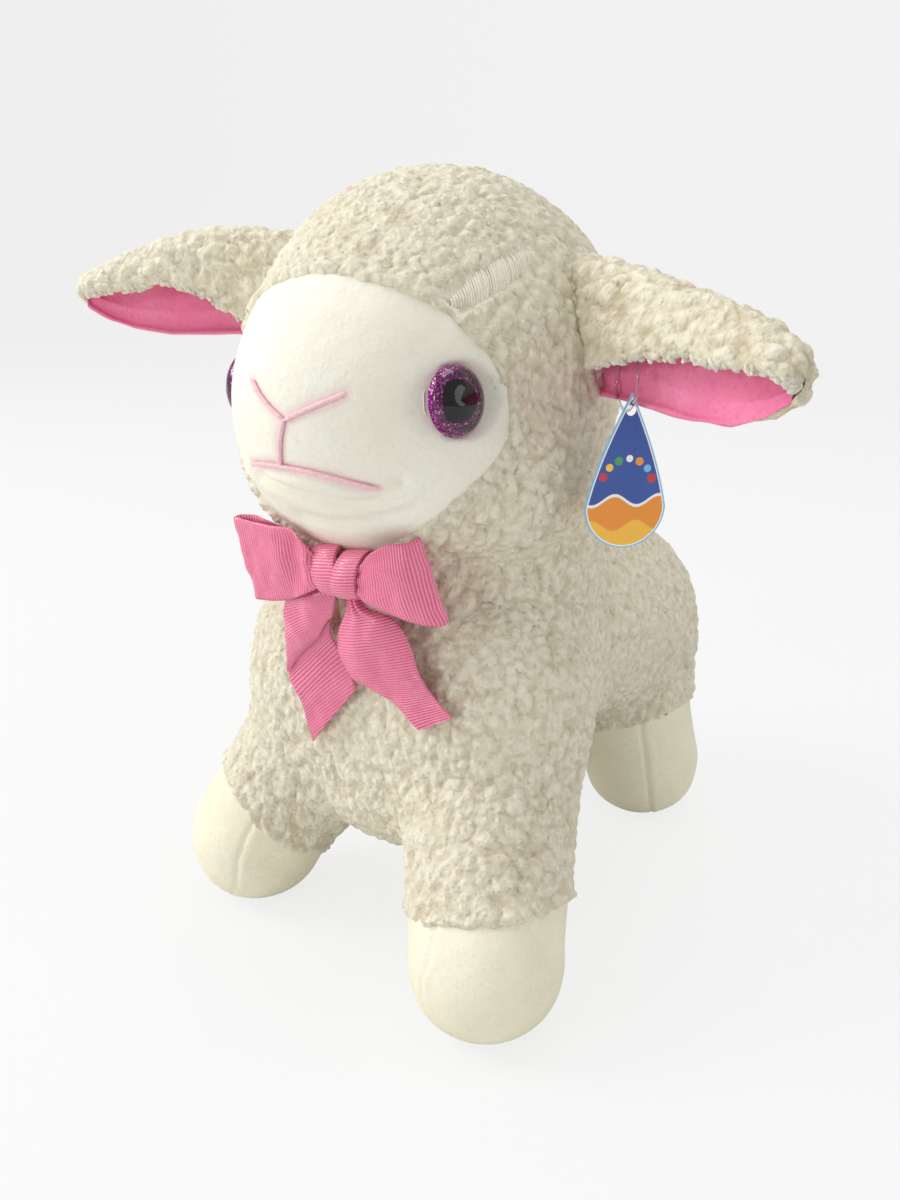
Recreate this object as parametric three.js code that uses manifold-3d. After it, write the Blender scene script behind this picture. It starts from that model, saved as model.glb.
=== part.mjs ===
// A plush lamb that stands on four stuffed legs, with floppy ears, glitter eyes, a ribbon bow and a hang tag.
// Millimetres, +Z up. The lamb looks along -Y, and its own left side is +X.
import * as THREE from "three";
import { mergeVertices } from "three/addons/utils/BufferGeometryUtils.js";
import Module from "manifold-3d";

const library = await Module();
library.setup();

// Sizes that every piece shares
const pieceGap = 0.3;
const movingGap = 0.7;
const fabricThickness = 2;
const seamBlend = 9;
const overrun = 20;
const sides = [1, -1];

// Head: a cranium and a muzzle run together, with a velour patch over the face
const head = { forward: 40, height: 205 };
const cranium = { forward: -14, heightAbove: 1, halfWidth: 61, halfLength: 60, halfHeight: 60 };
const muzzle = { forward: 25, heightAbove: -10, halfWidth: 42, halfLength: 43, halfHeight: 41 };
const cheeks = { forward: 3, heightAbove: -37, halfWidth: 59, halfLength: 38, halfHeight: 27 };
const facePatch = { forward: 72, heightAbove: -12, halfWidth: 82, halfLength: 59, halfHeight: 46 };

// Torso: a barrel, a chest, a neck that rises to the head, and a swelling over each leg
const barrel = { forward: -37, height: 101, halfWidth: 60, halfLength: 73, halfHeight: 47 };
const chest = { forward: 27, height: 97, halfWidth: 54, halfLength: 45, halfHeight: 55 };
const neck = { forward: -14, heightAbove: 0, halfWidth: 56, halfLength: 52, halfHeight: 44, openingWidth: 50 };
const neckRiseShare = 0.55;
const shoulder = { forward: 3, heightAbove: 16, halfWidth: 31, halfLength: 30, halfHeight: 42 };
const haunch = { forward: 0, heightAbove: 12, halfWidth: 29, halfLength: 34, halfHeight: 36 };

// Legs: each turns on a hip ball that swells from the torso, and ends in a round velour boot
const hipBallWidth = 59;
const leg = { hipWidth: 55, fullWidth: 57, bootWidth: 52, soleDip: 1.2, swing: 15 };
const hipHeight = 74;
const frontHip = { forward: 42, side: 33 };
const rearHip = { forward: -72, side: 34 };
const frontLeftFoot = { forward: 84, side: 55, bootReach: 4 };
const frontRightFoot = { forward: 64, side: 59, bootReach: 11 };
const rearFoot = { forward: -79, side: 44, bootReach: 20 };

// Ears: a leaf folded lengthwise, fleece outside and velour inside
const ear = { length: 90, foldHalfDepth: 9.5, fleeceThickness: 4.5, liningThickness: 1.5, layerGap: 0.7 };
const earRoot = { side: 44, forward: 26, height: 219, buried: 12, halfHeight: 24 };
const earLift = 30;
const earDrop = 7;
const earSweepForward = 25;
const leftEarRise = -8;
const rightEarRise = 6;
const earShapes = {
  left: {
    fullnessShares: [0.85, 0.84, 0.8, 0.75, 0.71, 0.68, 0.64, 0.5],
    liftShares: [0, 0.014, 0.022, 0.027, 0.027, 0.02, 0.028, 0.045],
  },
  right: {
    fullnessShares: [0.85, 0.84, 0.82, 0.8, 0.81, 0.76, 0.6, 0.4],
    liftShares: [0.033, 0.056, 0.072, 0.078, 0.058, 0.023, -0.013, -0.033],
  },
};
const earRimAngles = [-60, -49, -37, -25, -12, 0, 8, 14];
const earBackRimAngle = 255;

// Tail
const tail = { length: 34, width: 22, depth: 17, hipHeight: 122, droop: 40, swing: 20 };

// Eyes: a clear dome on a post, a glitter disc behind it, and a washer inside the face
const eye = { width: 20, domeHeight: 5.5, sink: 1.6, postWidth: 5, postLength: 15, turn: 65, lift: 7, facing: 78 };
const domeShares = [0.2, 0.4, 0.6, 0.8, 0.95];
const glitterDisc = { width: 19, thickness: 0.5 };
const washer = { width: 17, thickness: 1.5, depth: 4.2 };

// Face stitching, as turns to the side and lifts from the muzzle's centre, in degrees
const threadWidth = 1.8;
const noseArm = { turn: 23, lift: 12 };
const noseCentre = { turn: 0, lift: 0 };
const noseFoot = { turn: 0, lift: -14 };
const mouthCentre = { turn: 0, lift: -18.5 };
const mouthLeft = { turn: 36, lift: -22 };
const mouthRight = { turn: -24, lift: -13 };

// Bow
const ribbon = { width: 25, thickness: 0.9 };
const bow = { forward: 88, height: 141, loopLength: 32, loopDepth: 9, pinchedWidth: 13 };
const loopShares = [[0, 0.25], [0.35, 0.5], [0.8, 0.42], [1, 0], [0.8, -0.42], [0.35, -0.5], [0, -0.25]];
const knot = { width: 13, height: 19, depth: 9 };
const bowLeftLift = 6;
const bowRightLift = 2;
const bowTail = { length: 52, gatheredWidth: 6 };
const bowTailSpans = 4;
const leftTailTurns = [18, 42];
const rightTailTurns = [-45, 25];
const tackWidth = 2;

// Hang tag and its clear fastener
const tag = { height: 46, width: 25, thickness: 0.6, holeWidth: 3.2, holeDrop: 5, turn: 42 };
const tagShoulderShare = { out: 0.75, down: 0.55 };
const fastener = { width: 18, strandWidth: 0.9, lean: 35 };
const tagPlace = { side: 78, forward: 47, height: 197 };

// How finely the curved forms are faceted
const formDetail = 4;
const hipSteps = 18;
const legSides = 14;
const bootRings = 3;
const archSteps = 9;
const roundSteps = 16;
const discSteps = 12;
const patchSteps = 12;
const strandSides = 6;
const threadSteps = 2;
const loopSteps = 14;
const bowTailSteps = 8;
const cardSteps = 8;
const bisections = 26;

const fleece = finish(0xeae3cf, 0.95);
const velour = finish(0xf1ecdc, 0.9);
const stuffing = finish(0xf7f7f4, 1);
const pinkVelour = finish(0xee7aa4, 0.85);
const pinkRibbon = finish(0xe8688f, 0.5);
const pinkThread = finish(0xf6b6c6, 0.6);
const clearPlastic = finish(0xf2f2f2, 0.1);
const glitter = finish(0x8a2f86, 0.35);
const whitePlastic = finish(0xe8e8e8, 0.4);
const printedCard = finish(0x2f4fb0, 0.45);

function finish(color, roughness) {
  return new THREE.MeshStandardMaterial({ color, roughness, metalness: 0 });
}

// A place given by how far it lies to the lamb's left, forward and up
function at(side, forward, height) {
  return new THREE.Vector3(side, -forward, height);
}

function radians(degrees) {
  return THREE.MathUtils.degToRad(degrees);
}

// A unit direction turned to the lamb's left from straight ahead, then lifted
function heading(turn, lift) {
  const flat = Math.cos(radians(lift));
  return at(flat * Math.sin(radians(turn)), flat * Math.cos(radians(turn)), Math.sin(radians(lift)));
}

// Solids
function solidOf(geometry) {
  const bare = geometry.clone();
  bare.deleteAttribute("normal");
  bare.deleteAttribute("uv");
  const merged = mergeVertices(bare);
  return new library.Manifold(
    new library.Mesh({
      numProp: 3,
      vertProperties: merged.attributes.position.array,
      triVerts: new Uint32Array(merged.index.array),
    }),
  );
}

function moved(solid, matrix) {
  return solid.transform(matrix.elements);
}

function joined(solids) {
  return solids.reduce((whole, solid) => whole.add(solid));
}

function turnedAbout(pivot, axis, degrees) {
  return new THREE.Matrix4()
    .makeTranslation(pivot.x, pivot.y, pivot.z)
    .multiply(new THREE.Matrix4().makeRotationAxis(axis, radians(degrees)))
    .multiply(new THREE.Matrix4().makeTranslation(-pivot.x, -pivot.y, -pivot.z));
}

// The space that a solid fills, seen from a piece that turns about the pivot between two angles
function sweptPast(solid, pivot, axis, angles) {
  return joined(angles.map((angle) => moved(solid, turnedAbout(pivot, axis, -angle))));
}

// A closed skin through rings of equal count, its two ends filled flat
function loft(rings, endTriangles) {
  const count = rings[0].length;
  const triangles = [];
  for (let ring = 0; ring + 1 < rings.length; ring += 1) {
    for (let corner = 0; corner < count; corner += 1) {
      const next = (corner + 1) % count;
      const here = ring * count;
      const above = here + count;
      triangles.push(here + corner, here + next, above + next);
      triangles.push(here + corner, above + next, above + corner);
    }
  }
  const last = (rings.length - 1) * count;
  for (const [a, b, c] of endTriangles) {
    triangles.push(a, c, b);
    triangles.push(last + a, last + b, last + c);
  }
  const geometry = new THREE.BufferGeometry().setFromPoints(rings.flat());
  geometry.setIndex(triangles);
  const solid = solidOf(geometry);
  return solid.volume() > 0 ? solid : loft(rings.toReversed(), endTriangles);
}

function fanTriangles(count) {
  return Array.from({ length: count - 2 }, (_, step) => [0, step + 1, step + 2]);
}

// The faces that fill a bent outline, turned the way that the outline runs
function endFaces(outline) {
  const faces = THREE.ShapeUtils.triangulateShape(outline, []);
  const first = faces[0].map((corner) => outline[corner]);
  const agrees = THREE.ShapeUtils.isClockWise(first) === THREE.ShapeUtils.isClockWise(outline);
  return agrees ? faces : faces.map((face) => face.toReversed());
}

// Stuffed forms
function lobe(core, sizes) {
  return {
    centre: core.clone().add(at(0, sizes.forward, sizes.heightAbove)),
    radii: new THREE.Vector3(sizes.halfWidth, sizes.halfLength, sizes.halfHeight),
  };
}

function lobeDistance({ centre, radii }, place) {
  const scaled = place.clone().sub(centre).divide(radii);
  const slope = scaled.clone().divide(radii).length();
  return slope > 0 ? (scaled.length() * (scaled.length() - 1)) / slope : -radii.x;
}

// Below zero inside the lobes, which run into each other over the seam blend
function formDistance(form, place) {
  const closeness = form.lobes.reduce((sum, each) => sum + Math.exp(-lobeDistance(each, place) / seamBlend), 0);
  return -seamBlend * Math.log(closeness);
}

function surfacePoint(form, from, direction, inset = 0) {
  let inner = 0;
  let outer = form.reach;
  for (let step = 0; step < bisections; step += 1) {
    const middle = (inner + outer) / 2;
    const inside = formDistance(form, from.clone().addScaledVector(direction, middle)) < -inset;
    [inner, outer] = inside ? [middle, outer] : [inner, middle];
  }
  return from.clone().addScaledVector(direction, inner);
}

function surfaceNormal(form, place) {
  const here = formDistance(form, place);
  const slopes = [at(1, 0, 0), at(0, -1, 0), at(0, 0, 1)].map(
    (axis) => formDistance(form, place.clone().addScaledVector(axis, pieceGap)) - here,
  );
  return new THREE.Vector3(...slopes).normalize();
}

function stuffedSolid(form, inset) {
  const ball = new THREE.IcosahedronGeometry(1, formDetail);
  ball.deleteAttribute("normal");
  ball.deleteAttribute("uv");
  const geometry = mergeVertices(ball);
  const positions = geometry.attributes.position;
  for (let index = 0; index < positions.count; index += 1) {
    const direction = new THREE.Vector3().fromBufferAttribute(positions, index).normalize();
    const place = surfacePoint(form, form.core, direction, inset);
    positions.setXYZ(index, place.x, place.y, place.z);
  }
  return solidOf(geometry);
}

const headCore = at(0, head.forward, head.height);
const headForm = {
  core: headCore,
  reach: 2 * (cranium.halfHeight + muzzle.halfLength),
  lobes: [lobe(headCore, cranium), lobe(headCore, muzzle), lobe(headCore, cheeks)],
};
const muzzleCentre = headForm.lobes[1].centre;

const legPlaces = [
  { name: "front_left", side: 1, hip: frontHip, foot: frontLeftFoot, swelling: shoulder },
  { name: "front_right", side: -1, hip: frontHip, foot: frontRightFoot, swelling: shoulder },
  { name: "rear_left", side: 1, hip: rearHip, foot: rearFoot, swelling: haunch },
  { name: "rear_right", side: -1, hip: rearHip, foot: rearFoot, swelling: haunch },
].map(({ name, side, hip, foot, swelling }) => ({
  name,
  swelling,
  bootReach: foot.bootReach,
  hip: at(side * hip.side, hip.forward, hipHeight),
  ball: at(side * foot.side, foot.forward, leg.bootWidth / 2 - leg.soleDip),
}));

const chestCentre = at(0, chest.forward, chest.height);
const barrelCentre = at(0, barrel.forward, barrel.height);
const torsoForm = {
  core: chestCentre.clone().lerp(barrelCentre, 0.5),
  reach: 2 * (barrel.halfLength + chest.halfLength),
  lobes: [
    lobe(barrelCentre, { ...barrel, forward: 0, heightAbove: 0 }),
    lobe(chestCentre, { ...chest, forward: 0, heightAbove: 0 }),
    lobe(chestCentre.clone().lerp(headCore, neckRiseShare), neck),
    ...legPlaces.map(({ hip, swelling }) => lobe(hip, swelling)),
  ],
};

// A ball whose rings of facets run round the line through both hips
function hipBall(hip, radius) {
  const ball = new THREE.SphereGeometry(radius, hipSteps, hipSteps / 2);
  ball.rotateZ(Math.PI / 2);
  ball.translate(hip.x, hip.y, hip.z);
  return solidOf(ball);
}

// The torso with its hip balls, larger by a clearance where it is used as a cutter
function torsoSolid(clearance) {
  const balls = legPlaces.map(({ hip }) => hipBall(hip, hipBallWidth / 2 + clearance));
  return joined([stuffedSolid(torsoForm, -clearance), ...balls]);
}

const headCleared = stuffedSolid(headForm, -movingGap);

const lamb = new THREE.Group();

function addPiece(name, solid, material, parent = lamb) {
  const made = solid.getMesh();
  const geometry = new THREE.BufferGeometry();
  geometry.setAttribute("position", new THREE.BufferAttribute(made.vertProperties, made.numProp));
  geometry.setIndex(new THREE.BufferAttribute(made.triVerts, 1));
  geometry.computeVertexNormals();
  const mesh = new THREE.Mesh(geometry, material);
  mesh.name = name;
  parent.add(mesh);
  return mesh;
}

// Torso: a fleece skin, open at the neck, round a stuffed core
function addTorso() {
  const towardsHead = headCore.clone().sub(chestCentre);
  const opening = new THREE.CylinderGeometry(
    neck.openingWidth / 2,
    neck.openingWidth / 2,
    towardsHead.length(),
    roundSteps,
  );
  const upright = new THREE.Quaternion().setFromUnitVectors(at(0, -1, 0), towardsHead.clone().normalize());
  opening.applyQuaternion(upright);
  opening.translate(...chestCentre.clone().add(headCore).add(towardsHead).divideScalar(2));
  const hollow = stuffedSolid(torsoForm, fabricThickness);
  addPiece("torso_skin", torsoSolid(0).subtract(hollow).subtract(solidOf(opening)), fleece);
  addPiece("torso_stuffing", stuffedSolid(torsoForm, fabricThickness + pieceGap), stuffing);
}

// Eye hardware, grown by a clearance where it is used as a cutter
function turnedSolid(profile, steps) {
  const points = profile.map(([radius, height]) => new THREE.Vector2(radius, height));
  const geometry = new THREE.LatheGeometry(points, steps);
  geometry.rotateX(Math.PI / 2);
  return solidOf(geometry);
}

function eyeSolid(clearance) {
  const radius = eye.width / 2 + clearance;
  const post = eye.postWidth / 2 + clearance;
  const base = -eye.sink - clearance;
  const dome = domeShares.map((share) => [
    radius * Math.cos((share * Math.PI) / 2),
    base + eye.sink + (eye.domeHeight + 2 * clearance) * Math.sin((share * Math.PI) / 2),
  ]);
  const profile = [[0, base - eye.postLength], [post, base - eye.postLength], [post, base], [radius, base]];
  return turnedSolid([...profile, ...dome, [0, eye.domeHeight + clearance]], roundSteps);
}

function discSolid(radius, bore, low, high) {
  return turnedSolid([[bore, low], [radius, low], [radius, high], [bore, high], [bore, low]], discSteps);
}

function glitterSolid(clearance) {
  const high = -eye.sink - pieceGap + clearance;
  const low = high - glitterDisc.thickness - 2 * clearance;
  return discSolid(glitterDisc.width / 2 + clearance, eye.postWidth / 2 + pieceGap - clearance, low, high);
}

function washerSolid(clearance) {
  const high = -washer.depth + clearance;
  const low = high - washer.thickness - 2 * clearance;
  return discSolid(washer.width / 2 + clearance, eye.postWidth / 2 + pieceGap - clearance, low, high);
}

function eyeMatrix(side) {
  const place = surfacePoint(headForm, muzzleCentre, heading(side * eye.turn, eye.lift));
  const facing = heading(side * eye.facing, eye.lift);
  const turn = new THREE.Quaternion().setFromUnitVectors(at(0, 0, 1), facing);
  return new THREE.Matrix4().compose(place, turn, at(1, -1, 1));
}

function addEyes() {
  for (const side of sides) {
    const name = side > 0 ? "left_eye" : "right_eye";
    const matrix = eyeMatrix(side);
    for (const [suffix, solid, material] of [
      ["", eyeSolid(0), clearPlastic],
      ["_glitter_disc", glitterSolid(0), glitter],
      ["_washer", washerSolid(0), whitePlastic],
    ]) {
      addPiece(name + suffix, solid, material).applyMatrix4(matrix);
    }
  }
}

// Head: a fleece hood, the velour face let into it, and the stuffed core
function addHead() {
  const hardware = sides.flatMap((side) =>
    [eyeSolid(pieceGap), glitterSolid(pieceGap), washerSolid(pieceGap)].map((solid) =>
      moved(solid, eyeMatrix(side)),
    ),
  );
  const cutters = joined([torsoSolid(pieceGap), ...hardware]);
  const skin = stuffedSolid(headForm, 0).subtract(stuffedSolid(headForm, fabricThickness)).subtract(cutters);
  const patch = (clearance) => {
    const ball = new THREE.SphereGeometry(1, 2 * patchSteps, patchSteps);
    ball.scale(facePatch.halfWidth + clearance, facePatch.halfLength + clearance, facePatch.halfHeight + clearance);
    ball.translate(...headCore.clone().add(at(0, facePatch.forward, facePatch.heightAbove)));
    return solidOf(ball);
  };
  addPiece("head_hood", skin.subtract(patch(pieceGap)), fleece);
  addPiece("face_panel", skin.intersect(patch(0)), velour);
  addPiece("head_stuffing", stuffedSolid(headForm, fabricThickness + pieceGap).subtract(cutters), stuffing);
}

// A thread that lies on the face through the given turns and lifts
function threadSolid(stops) {
  const spots = stops.map(({ turn, lift }) => {
    const place = surfacePoint(headForm, muzzleCentre, heading(turn, lift));
    return place.addScaledVector(surfaceNormal(headForm, place), threadWidth / 2 + pieceGap);
  });
  const section = new THREE.Shape().absarc(0, 0, threadWidth / 2, 0, 2 * Math.PI);
  const geometry = new THREE.ExtrudeGeometry(section, {
    steps: threadSteps * stops.length,
    curveSegments: strandSides / 2,
    extrudePath: new THREE.CatmullRomCurve3(spots),
  });
  return solidOf(geometry);
}

function between(from, to, share) {
  return {
    turn: THREE.MathUtils.lerp(from.turn, to.turn, share),
    lift: THREE.MathUtils.lerp(from.lift, to.lift, share),
  };
}

function threadRun(from, to) {
  return [from, between(from, to, 1 / 3), between(from, to, 2 / 3), to];
}

function addStitching() {
  const arms = sides.map((side) => threadRun({ ...noseArm, turn: side * noseArm.turn }, noseCentre));
  const nose = joined([...arms, threadRun(noseCentre, noseFoot)].map(threadSolid));
  addPiece("nose_stitching", nose, pinkThread);
  const mouth = [...threadRun(mouthRight, mouthCentre), ...threadRun(mouthCentre, mouthLeft).slice(1)];
  addPiece("mouth_stitching", threadSolid(mouth), pinkThread);
}

// Legs: rings round the line from the boot's round end to the hip
function legSolid({ hip, ball, bootReach }, inset) {
  const along = hip.clone().sub(ball);
  const length = along.length();
  const upright = new THREE.Quaternion().setFromUnitVectors(at(0, 0, 1), along.normalize());
  const boot = leg.bootWidth / 2 - inset;
  const rounded = Array.from({ length: bootRings }, (_, step) => {
    const angle = ((step + 0.5) / bootRings) * (Math.PI / 2);
    return [-boot * Math.cos(angle), boot * Math.sin(angle)];
  });
  const straight = [
    [0, boot],
    [bootReach, boot],
    [(bootReach + length) / 2, leg.fullWidth / 2 - inset],
    [length, leg.hipWidth / 2 - inset],
  ];
  const rings = [...rounded, ...straight].map(([reach, radius]) =>
    Array.from({ length: legSides }, (_, step) => {
      const angle = (step / legSides) * 2 * Math.PI;
      return new THREE.Vector3(radius * Math.cos(angle), radius * Math.sin(angle), reach)
        .applyQuaternion(upright)
        .add(ball);
    }),
  );
  return loft(rings, fanTriangles(legSides));
}

// A block that lies above a boot's ankle, square to the leg, or below it
function ankleBlock({ hip, ball }, low, high) {
  const upright = new THREE.Quaternion().setFromUnitVectors(at(0, 0, 1), hip.clone().sub(ball).normalize());
  const box = new THREE.BoxGeometry(2 * leg.fullWidth, 2 * leg.fullWidth, high - low);
  box.translate(0, 0, (low + high) / 2);
  box.applyQuaternion(upright);
  box.translate(ball.x, ball.y, ball.z);
  return solidOf(box);
}

function floorBlock() {
  const span = 2 * (barrel.halfLength + chest.halfLength + leg.fullWidth);
  const box = new THREE.BoxGeometry(2 * span, 2 * span, overrun);
  box.translate(0, 0, -overrun / 2);
  return solidOf(box);
}

const acrossAxis = at(1, 0, 0);

function addLegs() {
  const plainTorso = stuffedSolid(torsoForm, -movingGap);
  const floor = floorBlock();
  for (const place of legPlaces) {
    const swept = sweptPast(plainTorso, place.hip, acrossAxis, [-leg.swing, 0, leg.swing]);
    const cutters = joined([swept, hipBall(place.hip, hipBallWidth / 2 + movingGap), floor]);
    const skin = legSolid(place, 0).subtract(legSolid(place, fabricThickness)).subtract(cutters);
    const boot = ankleBlock(place, -leg.bootWidth, place.bootReach);
    const sleeve = ankleBlock(place, place.bootReach + pieceGap, 2 * hipHeight);
    addPiece(place.name + "_leg_sleeve", skin.intersect(sleeve), fleece);
    addPiece(place.name + "_foot_boot", skin.intersect(boot), velour);
    const core = legSolid(place, fabricThickness + pieceGap).subtract(cutters);
    addPiece(place.name + "_leg_stuffing", core, stuffing);
  }
}

// Ears
function archRing(rimAngle, halfHeight, outset, innerDepth) {
  const outline = [];
  for (const depth of [0, innerDepth]) {
    const arc = [];
    for (let step = 0; step <= archSteps; step += 1) {
      const angle = radians(THREE.MathUtils.lerp(rimAngle, earBackRimAngle, step / archSteps));
      const across = -(ear.foldHalfDepth - outset - depth) * Math.cos(angle);
      const up = (halfHeight - outset - depth) * Math.sin(angle);
      arc.push(new THREE.Vector2(across, up));
    }
    outline.push(...(depth === 0 ? arc : arc.reverse()));
  }
  return outline;
}

// One layer of an ear, from an outset in from its outer face, in the ear's own frame along +X
function earLayer(side, outset, thickness) {
  const { fullnessShares, liftShares } = side > 0 ? earShapes.left : earShapes.right;
  const stations = fullnessShares.map((fullness, index) => {
    const share = index / (fullnessShares.length - 1);
    const along = THREE.MathUtils.lerp(-earRoot.buried, ear.length, share);
    const halfHeight = Math.max(earRoot.halfHeight * fullness, ear.foldHalfDepth);
    const outline = archRing(earRimAngles[index], halfHeight, outset, thickness);
    return { along, outline, lift: ear.length * liftShares[index] };
  });
  const rings = stations.map(({ along, outline, lift }) =>
    outline.map((corner) => new THREE.Vector3(along, corner.x, corner.y + lift)),
  );
  return loft(rings, endFaces(stations[0].outline));
}

function earMatrix(side) {
  const rise = side > 0 ? leftEarRise : rightEarRise;
  const place = at(earRoot.side, earRoot.forward, earRoot.height);
  const turn = new THREE.Quaternion().setFromEuler(
    new THREE.Euler(0, radians(-rise), radians(-earSweepForward), "ZYX"),
  );
  const left = new THREE.Matrix4().compose(place, turn, at(1, -1, 1));
  return side > 0 ? left : new THREE.Matrix4().makeScale(-1, 1, 1).multiply(left);
}

function addEars() {
  for (const side of sides) {
    const name = side > 0 ? "left_ear" : "right_ear";
    const hinge = at(side * earRoot.side, earRoot.forward, earRoot.height);
    const liftAxis = at(0, side, 0);
    const cutter = sweptPast(headCleared, hinge, liftAxis, [-earDrop, 0, earLift / 2, earLift]);
    const ring = side > 0 ? moved(fastenerSolid(pieceGap), tagMatrix()) : null;
    for (const [layer, outset, thickness, material] of [
      ["_fleece", 0, ear.fleeceThickness, fleece],
      ["_lining", ear.fleeceThickness + ear.layerGap, ear.liningThickness, pinkVelour],
    ]) {
      const whole = moved(earLayer(side, outset, thickness), earMatrix(side)).subtract(cutter);
      addPiece(name + layer, ring ? whole.subtract(ring) : whole, material);
    }
  }
}

// Tail: a short stuffed lobe that hangs from the rump
function addTail() {
  const rump = surfacePoint(torsoForm, at(0, barrel.forward, tail.hipHeight), at(0, -1, 0));
  const ball = new THREE.SphereGeometry(1, roundSteps / 2, roundSteps / 2);
  ball.scale(tail.width / 2, tail.depth / 2, tail.length / 2);
  ball.translate(0, 0, -tail.length / 2 + tail.depth / 2);
  ball.rotateX(radians(tail.droop));
  ball.translate(rump.x, rump.y, rump.z);
  const body = stuffedSolid(torsoForm, -movingGap);
  const cutter = sweptPast(body, rump, acrossAxis, [-tail.swing, 0, tail.swing]);
  addPiece("tail", solidOf(ball).subtract(cutter), fleece);
}

// A flat band of ribbon along a path, with its width along the given directions
function bandSolid(path, widths, across, thickness) {
  const steps = widths.length - 1;
  const rings = widths.map((width, index) => {
    const share = index / steps;
    const centre = path.getPoint(share);
    const along = path.getTangent(share);
    const face = new THREE.Vector3().crossVectors(along, across).normalize();
    const edge = new THREE.Vector3().crossVectors(face, along).normalize();
    return [[-1, -1], [1, -1], [1, 1], [-1, 1]].map(([sideways, outwards]) =>
      centre
        .clone()
        .addScaledVector(edge, (sideways * width) / 2)
        .addScaledVector(face, (outwards * thickness) / 2),
    );
  });
  return loft(rings, fanTriangles(rings[0].length));
}

const bowPlace = at(0, bow.forward, bow.height);

function addBowLoops() {
  for (const side of sides) {
    const inner = knot.width / 2 + pieceGap;
    const outer = inner + bow.loopLength;
    const lift = side > 0 ? bowLeftLift : bowRightLift;
    const stops = loopShares.map(([out, deep]) =>
      at(side * THREE.MathUtils.lerp(inner, outer, out), deep * bow.loopDepth, 0).add(bowPlace),
    );
    const tilt = turnedAbout(bowPlace, at(0, side, 0), lift);
    const path = new THREE.CatmullRomCurve3(stops);
    const widths = Array.from({ length: loopSteps + 1 }, (_, step) => {
      const out = Math.sin((step / loopSteps) * Math.PI);
      return THREE.MathUtils.lerp(bow.pinchedWidth, ribbon.width, out);
    });
    const name = side > 0 ? "bow_left_loop" : "bow_right_loop";
    addPiece(name, moved(bandSolid(path, widths, at(0, 0, 1), ribbon.thickness), tilt), pinkRibbon);
  }
}

// A bow tail leaves under the knot, curves from its first turn to its last, and lies in front of the chest
function addBowTails() {
  for (const [name, turns] of [["bow_left_tail", leftTailTurns], ["bow_right_tail", rightTailTurns]]) {
    const turnAt = (share) => radians(THREE.MathUtils.lerp(turns[0], turns[1], share));
    const under = bow.height - knot.height / 2 - pieceGap;
    const start = at(Math.sign(turns[0]) * ((bowTail.gatheredWidth + pieceGap) / 2), bow.forward, under);
    const flats = [start];
    for (let index = 1; index <= bowTailSpans; index += 1) {
      const angle = turnAt((index - 1) / (bowTailSpans - 1));
      const step = at(Math.sin(angle), 0, -Math.cos(angle)).multiplyScalar(bowTail.length / bowTailSpans);
      flats.push(flats[index - 1].clone().add(step));
    }
    const stops = flats.map((flat, index) => {
      const chestFace = surfacePoint(torsoForm, at(flat.x, 0, flat.z), at(0, 1, 0));
      const clearOfChest = chestFace.y - 3 * ribbon.thickness;
      const depth = THREE.MathUtils.lerp(start.y, clearOfChest - movingGap, index / bowTailSpans);
      return new THREE.Vector3(flat.x, Math.min(depth, clearOfChest), flat.z);
    });
    const widths = Array.from({ length: bowTailSteps + 1 }, (_, step) => {
      const spread = Math.sin(Math.min(1, (2 * step) / bowTailSteps) * (Math.PI / 2));
      return THREE.MathUtils.lerp(bowTail.gatheredWidth, ribbon.width, spread);
    });
    const turn = turnAt(0.5);
    const across = at(Math.cos(turn), 0, Math.sin(turn));
    const band = bandSolid(new THREE.CatmullRomCurve3(stops), widths, across, ribbon.thickness);
    addPiece(name, band, pinkRibbon);
  }
}

function addKnot() {
  const ball = new THREE.SphereGeometry(1, roundSteps / 2, roundSteps / 2);
  ball.scale(knot.width / 2, knot.depth / 2, knot.height / 2);
  addPiece("bow_knot", solidOf(ball), pinkRibbon).position.copy(bowPlace);
  const back = at(0, bow.forward - knot.depth / 2 - pieceGap, bow.height);
  const chestFace = surfacePoint(torsoForm, at(0, 0, bow.height), at(0, 1, 0));
  const length = chestFace.y + fabricThickness - back.y;
  const stitch = new THREE.CylinderGeometry(tackWidth / 2, tackWidth / 2, length, strandSides);
  stitch.translate(0, back.y + length / 2, back.z);
  addPiece("bow_tack_stitch", solidOf(stitch).subtract(torsoSolid(pieceGap)), pinkThread);
}

// Hang tag: a teardrop card in a frame whose -Y is the card's front and whose origin is its hole
function tagMatrix() {
  const turn = new THREE.Quaternion().setFromEuler(new THREE.Euler(0, 0, radians(tag.turn)));
  return new THREE.Matrix4().compose(at(tagPlace.side, tagPlace.forward, tagPlace.height), turn, at(1, -1, 1));
}

// A clear loop that leans back through the ear's hanging flap and carries the card at the top of its hole
function fastenerSolid(clearance) {
  const ring = new THREE.TorusGeometry(
    fastener.width / 2,
    fastener.strandWidth / 2 + clearance,
    strandSides,
    roundSteps,
  );
  const seat = (tag.holeWidth - fastener.strandWidth) / 2 - pieceGap;
  ring.rotateY(Math.PI / 2);
  ring.translate(0, 0, fastener.width / 2);
  ring.rotateX(-radians(fastener.lean));
  ring.translate(0, 0, seat);
  return solidOf(ring);
}

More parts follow.
